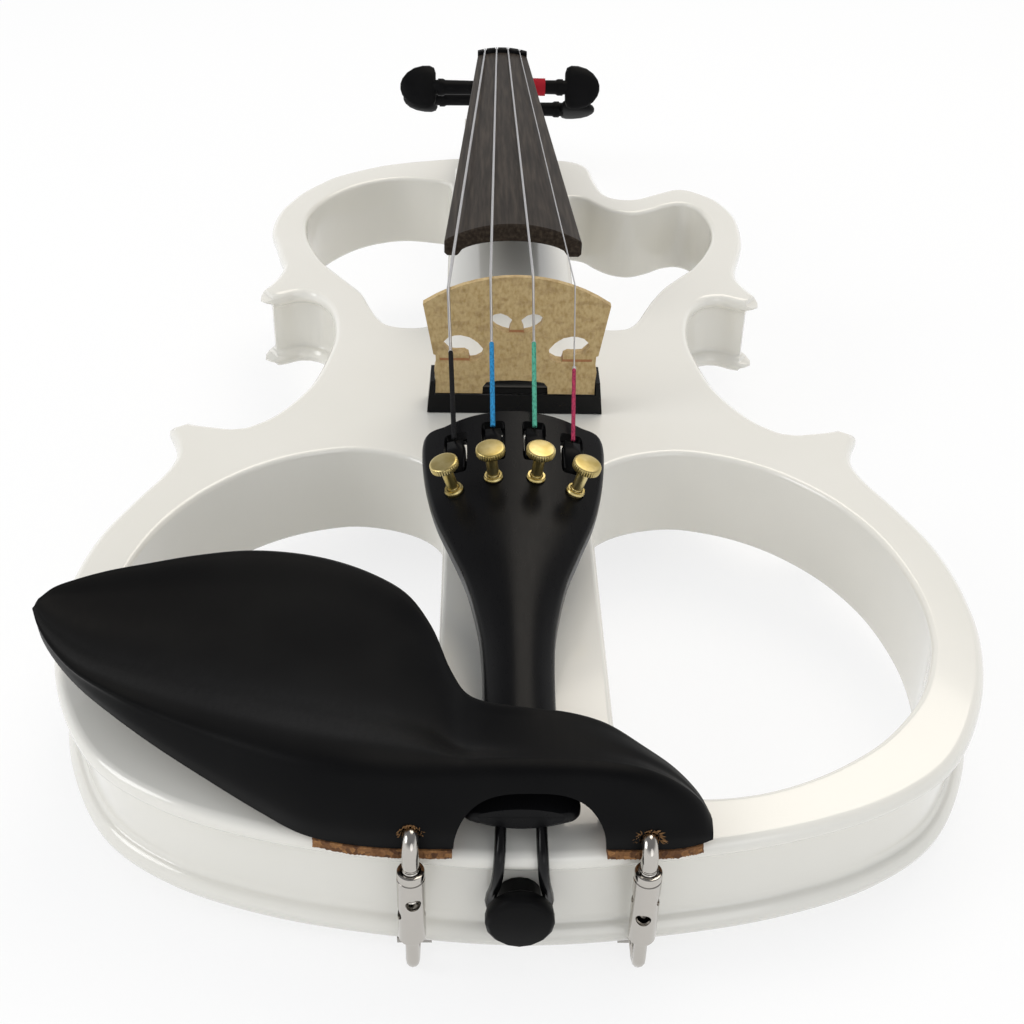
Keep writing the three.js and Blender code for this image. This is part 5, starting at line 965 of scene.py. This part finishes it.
# Torn wood: spikes, how far they go on below the middle, ring of their feet, half width, reach
# at the sides and as a share above, sideways sway, height and how deep they start.
torn = dict(
    count=60, past=0.35, ring=(1.75, 2.1), width=(0.12, 0.3), left=0.8, right=1.6, above=0.6, sway=0.4,
    rise=(0.25, 0.8), sink=0.3)
chance = np.random.default_rng(5)


def clampAt(side):
    return clamp["spread"] / 2 * (-1 if side == "left" else 1)


def buildHook(side):
    # up out of the barrel, a quarter turn y = b (1 - cos a), z = b sin a, and into the chin rest
    c = clamp
    x = clampAt(side)
    corner = c["height"][side] - c["bend"]
    up = np.linspace(c["end"], corner, 120)
    a = np.linspace(0, np.pi / 2, 14)[1:]
    bend = np.c_[c["bend"] * (1 - np.cos(a)) - c["off"], corner + c["bend"] * np.sin(a)]
    path = np.concatenate([np.c_[0 * up - c["off"], up], bend,
                           [(c["reach"] * 0.5, c["height"][side]), (c["reach"], c["height"][side])]])
    cut = np.clip((c["threadEnd"] - path[:, 1]) / c["runOut"], 0, 1) * (path[:, 0] < 0)
    radius = c["rod"] - c["thread"] * cut * (1 + np.cos(2 * np.pi * path[:, 1] / c["pitch"]))
    return meshObject("clampHook", *sweptPart(np.c_[np.full(len(path), x), path], radius, 28))


def buildBarrel(side):
    c = clamp
    r, g, d, rim, ease = c["radius"], c["groove"], c["grooveDeep"], c["rim"], c["ease"]
    x, end = clampAt(side), -c["length"]
    profile = [(c["bore"], 0), (r - rim, 0), (r - ease, -ease), (r, -rim), (r, -g), (r - d, -g - 0.1),
               (r - d, -g - 0.4), (r, -g - 0.5), (r, end + rim), (r - ease, end + ease),
               (r - rim, end), (c["bore"], end), (c["bore"], 0)]
    place = Matrix.Translation((x, -c["off"], c["top"]))
    tools = []
    for i in (0, 1):
        lift = Matrix.Translation((0, 0, -c["length"] * c["holeShare"] - c["holeStep"] * i))
        turn = Matrix.Rotation(math.radians(c["turn"][side] + 90 - 90 * i), 4, "Z")
        tools.append(rodTool(c["hole"], -4, 4, place @ lift @ turn @ alongX))
    return cutAway(meshObject("clampBarrel", *lathePart(profile, 56, False), place), tools)


def buildCork(start, end, depth, endDepth):
    # slab along the front of the chin rest's foot, with edges that crumble a little at every level
    c = corkPads
    x = np.linspace(start, end, 90)
    front = np.interp(x / chin["reach"], chinShares[:, 0], chinShares[:, 1]) * chin["depth"]
    back = front + np.linspace(depth, endDepth, 90)
    y = np.linspace(0, 1, 16)[1:-1]
    ends = [np.c_[np.full(14, x[i]), lerp(front[i] - c["inset"], back[i], y)] for i in (0, -1)]
    loop = np.concatenate([np.c_[x, front - c["inset"]], ends[1],
                           np.c_[x, back][::-1], ends[0][::-1]])
    along = np.roll(loop, -1, 0) - np.roll(loop, 1, 0)
    outward = unit(np.c_[along[:, 1], -along[:, 0]])
    rings = [atHeight(loop + outward * chance.uniform(-1, 1, (len(loop), 1)) * c["ragged"], z)
             for z in np.linspace(c["low"], c["high"], 6)]
    return meshObject("corkPad", *tubePart(rings))


def buildTorn(side):
    # wood torn up round the hook's hole: three-sided spikes that lean outward
    t, parts = torn, []
    middle = np.array([clampAt(side), t["sink"], clamp["height"][side]])
    for angle in chance.uniform(-t["past"], math.pi + t["past"], t["count"]):
        out = np.array([math.cos(angle), 0, math.sin(angle)])
        across = np.array([-math.sin(angle), 0, math.cos(angle)])
        foot = middle + out * chance.uniform(*t["ring"])
        size = chance.uniform(*t["width"])
        reach = chance.uniform(0.3, 1) * t[side] * (1 if abs(out[0]) > 0.5 else t["above"])
        tip = foot + out * reach + across * chance.uniform(-t["sway"], t["sway"])
        tip -= (0, chance.uniform(*t["rise"]), 0)
        inner = foot + out * size + (0, t["sink"], 0)
        parts.append(([foot + across * size, foot - across * size, inner, tip],
                      [(0, 1, 2), (0, 3, 1), (1, 3, 2), (2, 3, 0)]))
    return meshObject("tornWood", *joinParts(*parts))


for side in ("left", "right"):
    dress(buildHook(side), 50, "nickel", "clamp_hook_" + side)
    dress(buildBarrel(side), 40, "nickel", "clamp_barrel_" + side)
    dress(buildCork(*corkPads[side]), 30, "cork", "chin_cork_" + side)
    dress(buildTorn(side), 30, "fibre", body="body", weighted=False)
print("clamps made")

# The other pieces keep their CAD form.
plain = {
    "lacquer": ["neck"],
    "pegs": ["peg_g", "peg_e", "peg_d", "peg_a", "nut"],
    "ebony": ["end_button"],
    "abs": ["pickup_bar"],
    "lever": ["tuner_lever_" + n for n in orders],
    "cord": ["tail_cord"],
    "piezo": ["piezo_strip"],
    "nickel": ["clamp_foot_left", "clamp_foot_right", "line_out_jack", "headphone_jack"],
    "cork": ["clamp_foot_cork_left", "clamp_foot_cork_right"],
    "housing": ["preamp_housing", "battery_door", "volume_knob", "tone_knob", "power_switch"],
    "board": ["circuit_board"],
    "battery": ["battery"],
}
for finish, names in plain.items():
    for name in names:
        softened(name, 45, finish)
softened("bridge", 24, "maple", weighted=False)
print("other pieces dressed")

# Floor, light and camera, in metres. The glow is how much of the floor shows as plain white to
# the eye, the sky how bright the room lights the object.
studio = dict(
    view=(-0.011, -0.489, 0.22212), turn=(60.033, -1.211, -1.016), lens=50.88, floor=6, glow=0.8,
    sky=0.69)
# Lamps: place, aim, size, power and colour.
lamps = {"softboxAbove": ((0.35, 0.5, 1.5), (0, 0, 0), 1.2, 10, "#fff6e8"),
         "softboxLeft": ((-1.3, -0.5, 0.9), (0, 0, 0.03), 0.8, 6, "#ffffff"),
         "softboxFront": ((0.5, -1.6, 0.7), (0, 0, 0.03), 1, 2.5, "#ffffff")}


def seenRays(tree):
    # 1 for rays that the camera, a mirror or a pane sends out, 0 for those that light a surface
    rays = addNode(tree, "LightPath").outputs
    direct = maths(tree, "MAXIMUM", rays["Is Camera Ray"], rays["Is Glossy Ray"])
    return maths(tree, "MAXIMUM", direct, rays["Is Transmission Ray"])


def buildFloor():
    mesh = bpy.data.meshes.new("floor")
    far = studio["floor"]
    corners = [(-far, -far, 0), (far, -far, 0), (far, far, 0), (-far, far, 0)]
    mesh.from_pydata(corners, [], [(0, 1, 2, 3)])
    floor = newObject("floor", mesh)

    def make(tree, place):
        # matt white paper, lit from below for the eye and for mirrors, which thins the shadow on it
        tone = ramp(tree, noise(tree, place, 400), (0.3, "#f4f4f3"), (0.7, "#f7f7f6"))
        paper = addNode(tree, "BsdfDiffuse", {"Color": tone})
        glow = addNode(tree, "Emission", Color="#ffffff", Strength=1.0)
        share = maths(tree, "MULTIPLY", seenRays(tree), studio["glow"])
        shown = addNode(tree, "MixShader", {0: share, 1: paper, 2: glow})
        # seen from below it is clear, so that a view of the back shows the violin
        under = addNode(tree, "NewGeometry").outputs["Backfacing"]
        clear = addNode(tree, "BsdfTransparent")
        return addNode(tree, "MixShader", {0: under, 1: shown, 2: clear})

    mesh.materials.append(surfaceMaterial("paperWhite", make))


def buildWorld():
    world = bpy.data.worlds.new("studio")
    world.use_nodes = True
    tree = world.node_tree
    tree.nodes.clear()
    # white behind the object, with a darker ceiling that only polish and lacquer mirror
    way = addNode(tree, "TexCoord").outputs["Generated"]
    height = addNode(tree, "SeparateXYZ", {"Vector": way}).outputs["Z"]
    ceiling = ramp(tree, height, (0.22, "#ffffff"), (0.62, "#8b8b8d"))
    soft = addNode(tree, "Background", Color="#f4f8ff", Strength=studio["sky"])
    white = addNode(tree, "Background", {"Color": ceiling}, Strength=1.0)
    mixed = addNode(tree, "MixShader", {0: seenRays(tree), 1: soft, 2: white})
    eye = addNode(tree, "LightPath").outputs["Is Camera Ray"]
    backdrop = addNode(tree, "Background", Color="#ffffff", Strength=1.0)
    shown = addNode(tree, "MixShader", {0: eye, 1: mixed, 2: backdrop})
    addNode(tree, "OutputWorld", {"Surface": shown})
    bpy.context.scene.world = world


buildFloor()
buildWorld()
for name, (place, aim, size, power, shade) in lamps.items():
    lamp = bpy.data.lights.new(name, "AREA")
    lamp.color = linear(shade)[:3]
    lamp.shape, lamp.size, lamp.energy = "DISK", size, power
    light = newObject(name, lamp)
    light.location = place
    light.rotation_euler = (Vector(aim) - Vector(place)).to_track_quat("-Z", "Y").to_euler()
camera = newObject("camera", bpy.data.cameras.new("camera"))
camera.data.lens, camera.data.sensor_width, camera.data.clip_start = studio["lens"], 36, 0.01
camera.location = studio["view"]
camera.rotation_euler = Euler([math.radians(v) for v in studio["turn"]])
bpy.context.scene.camera = camera
bpy.context.scene.view_settings.view_transform = "Standard"
print("studio made")
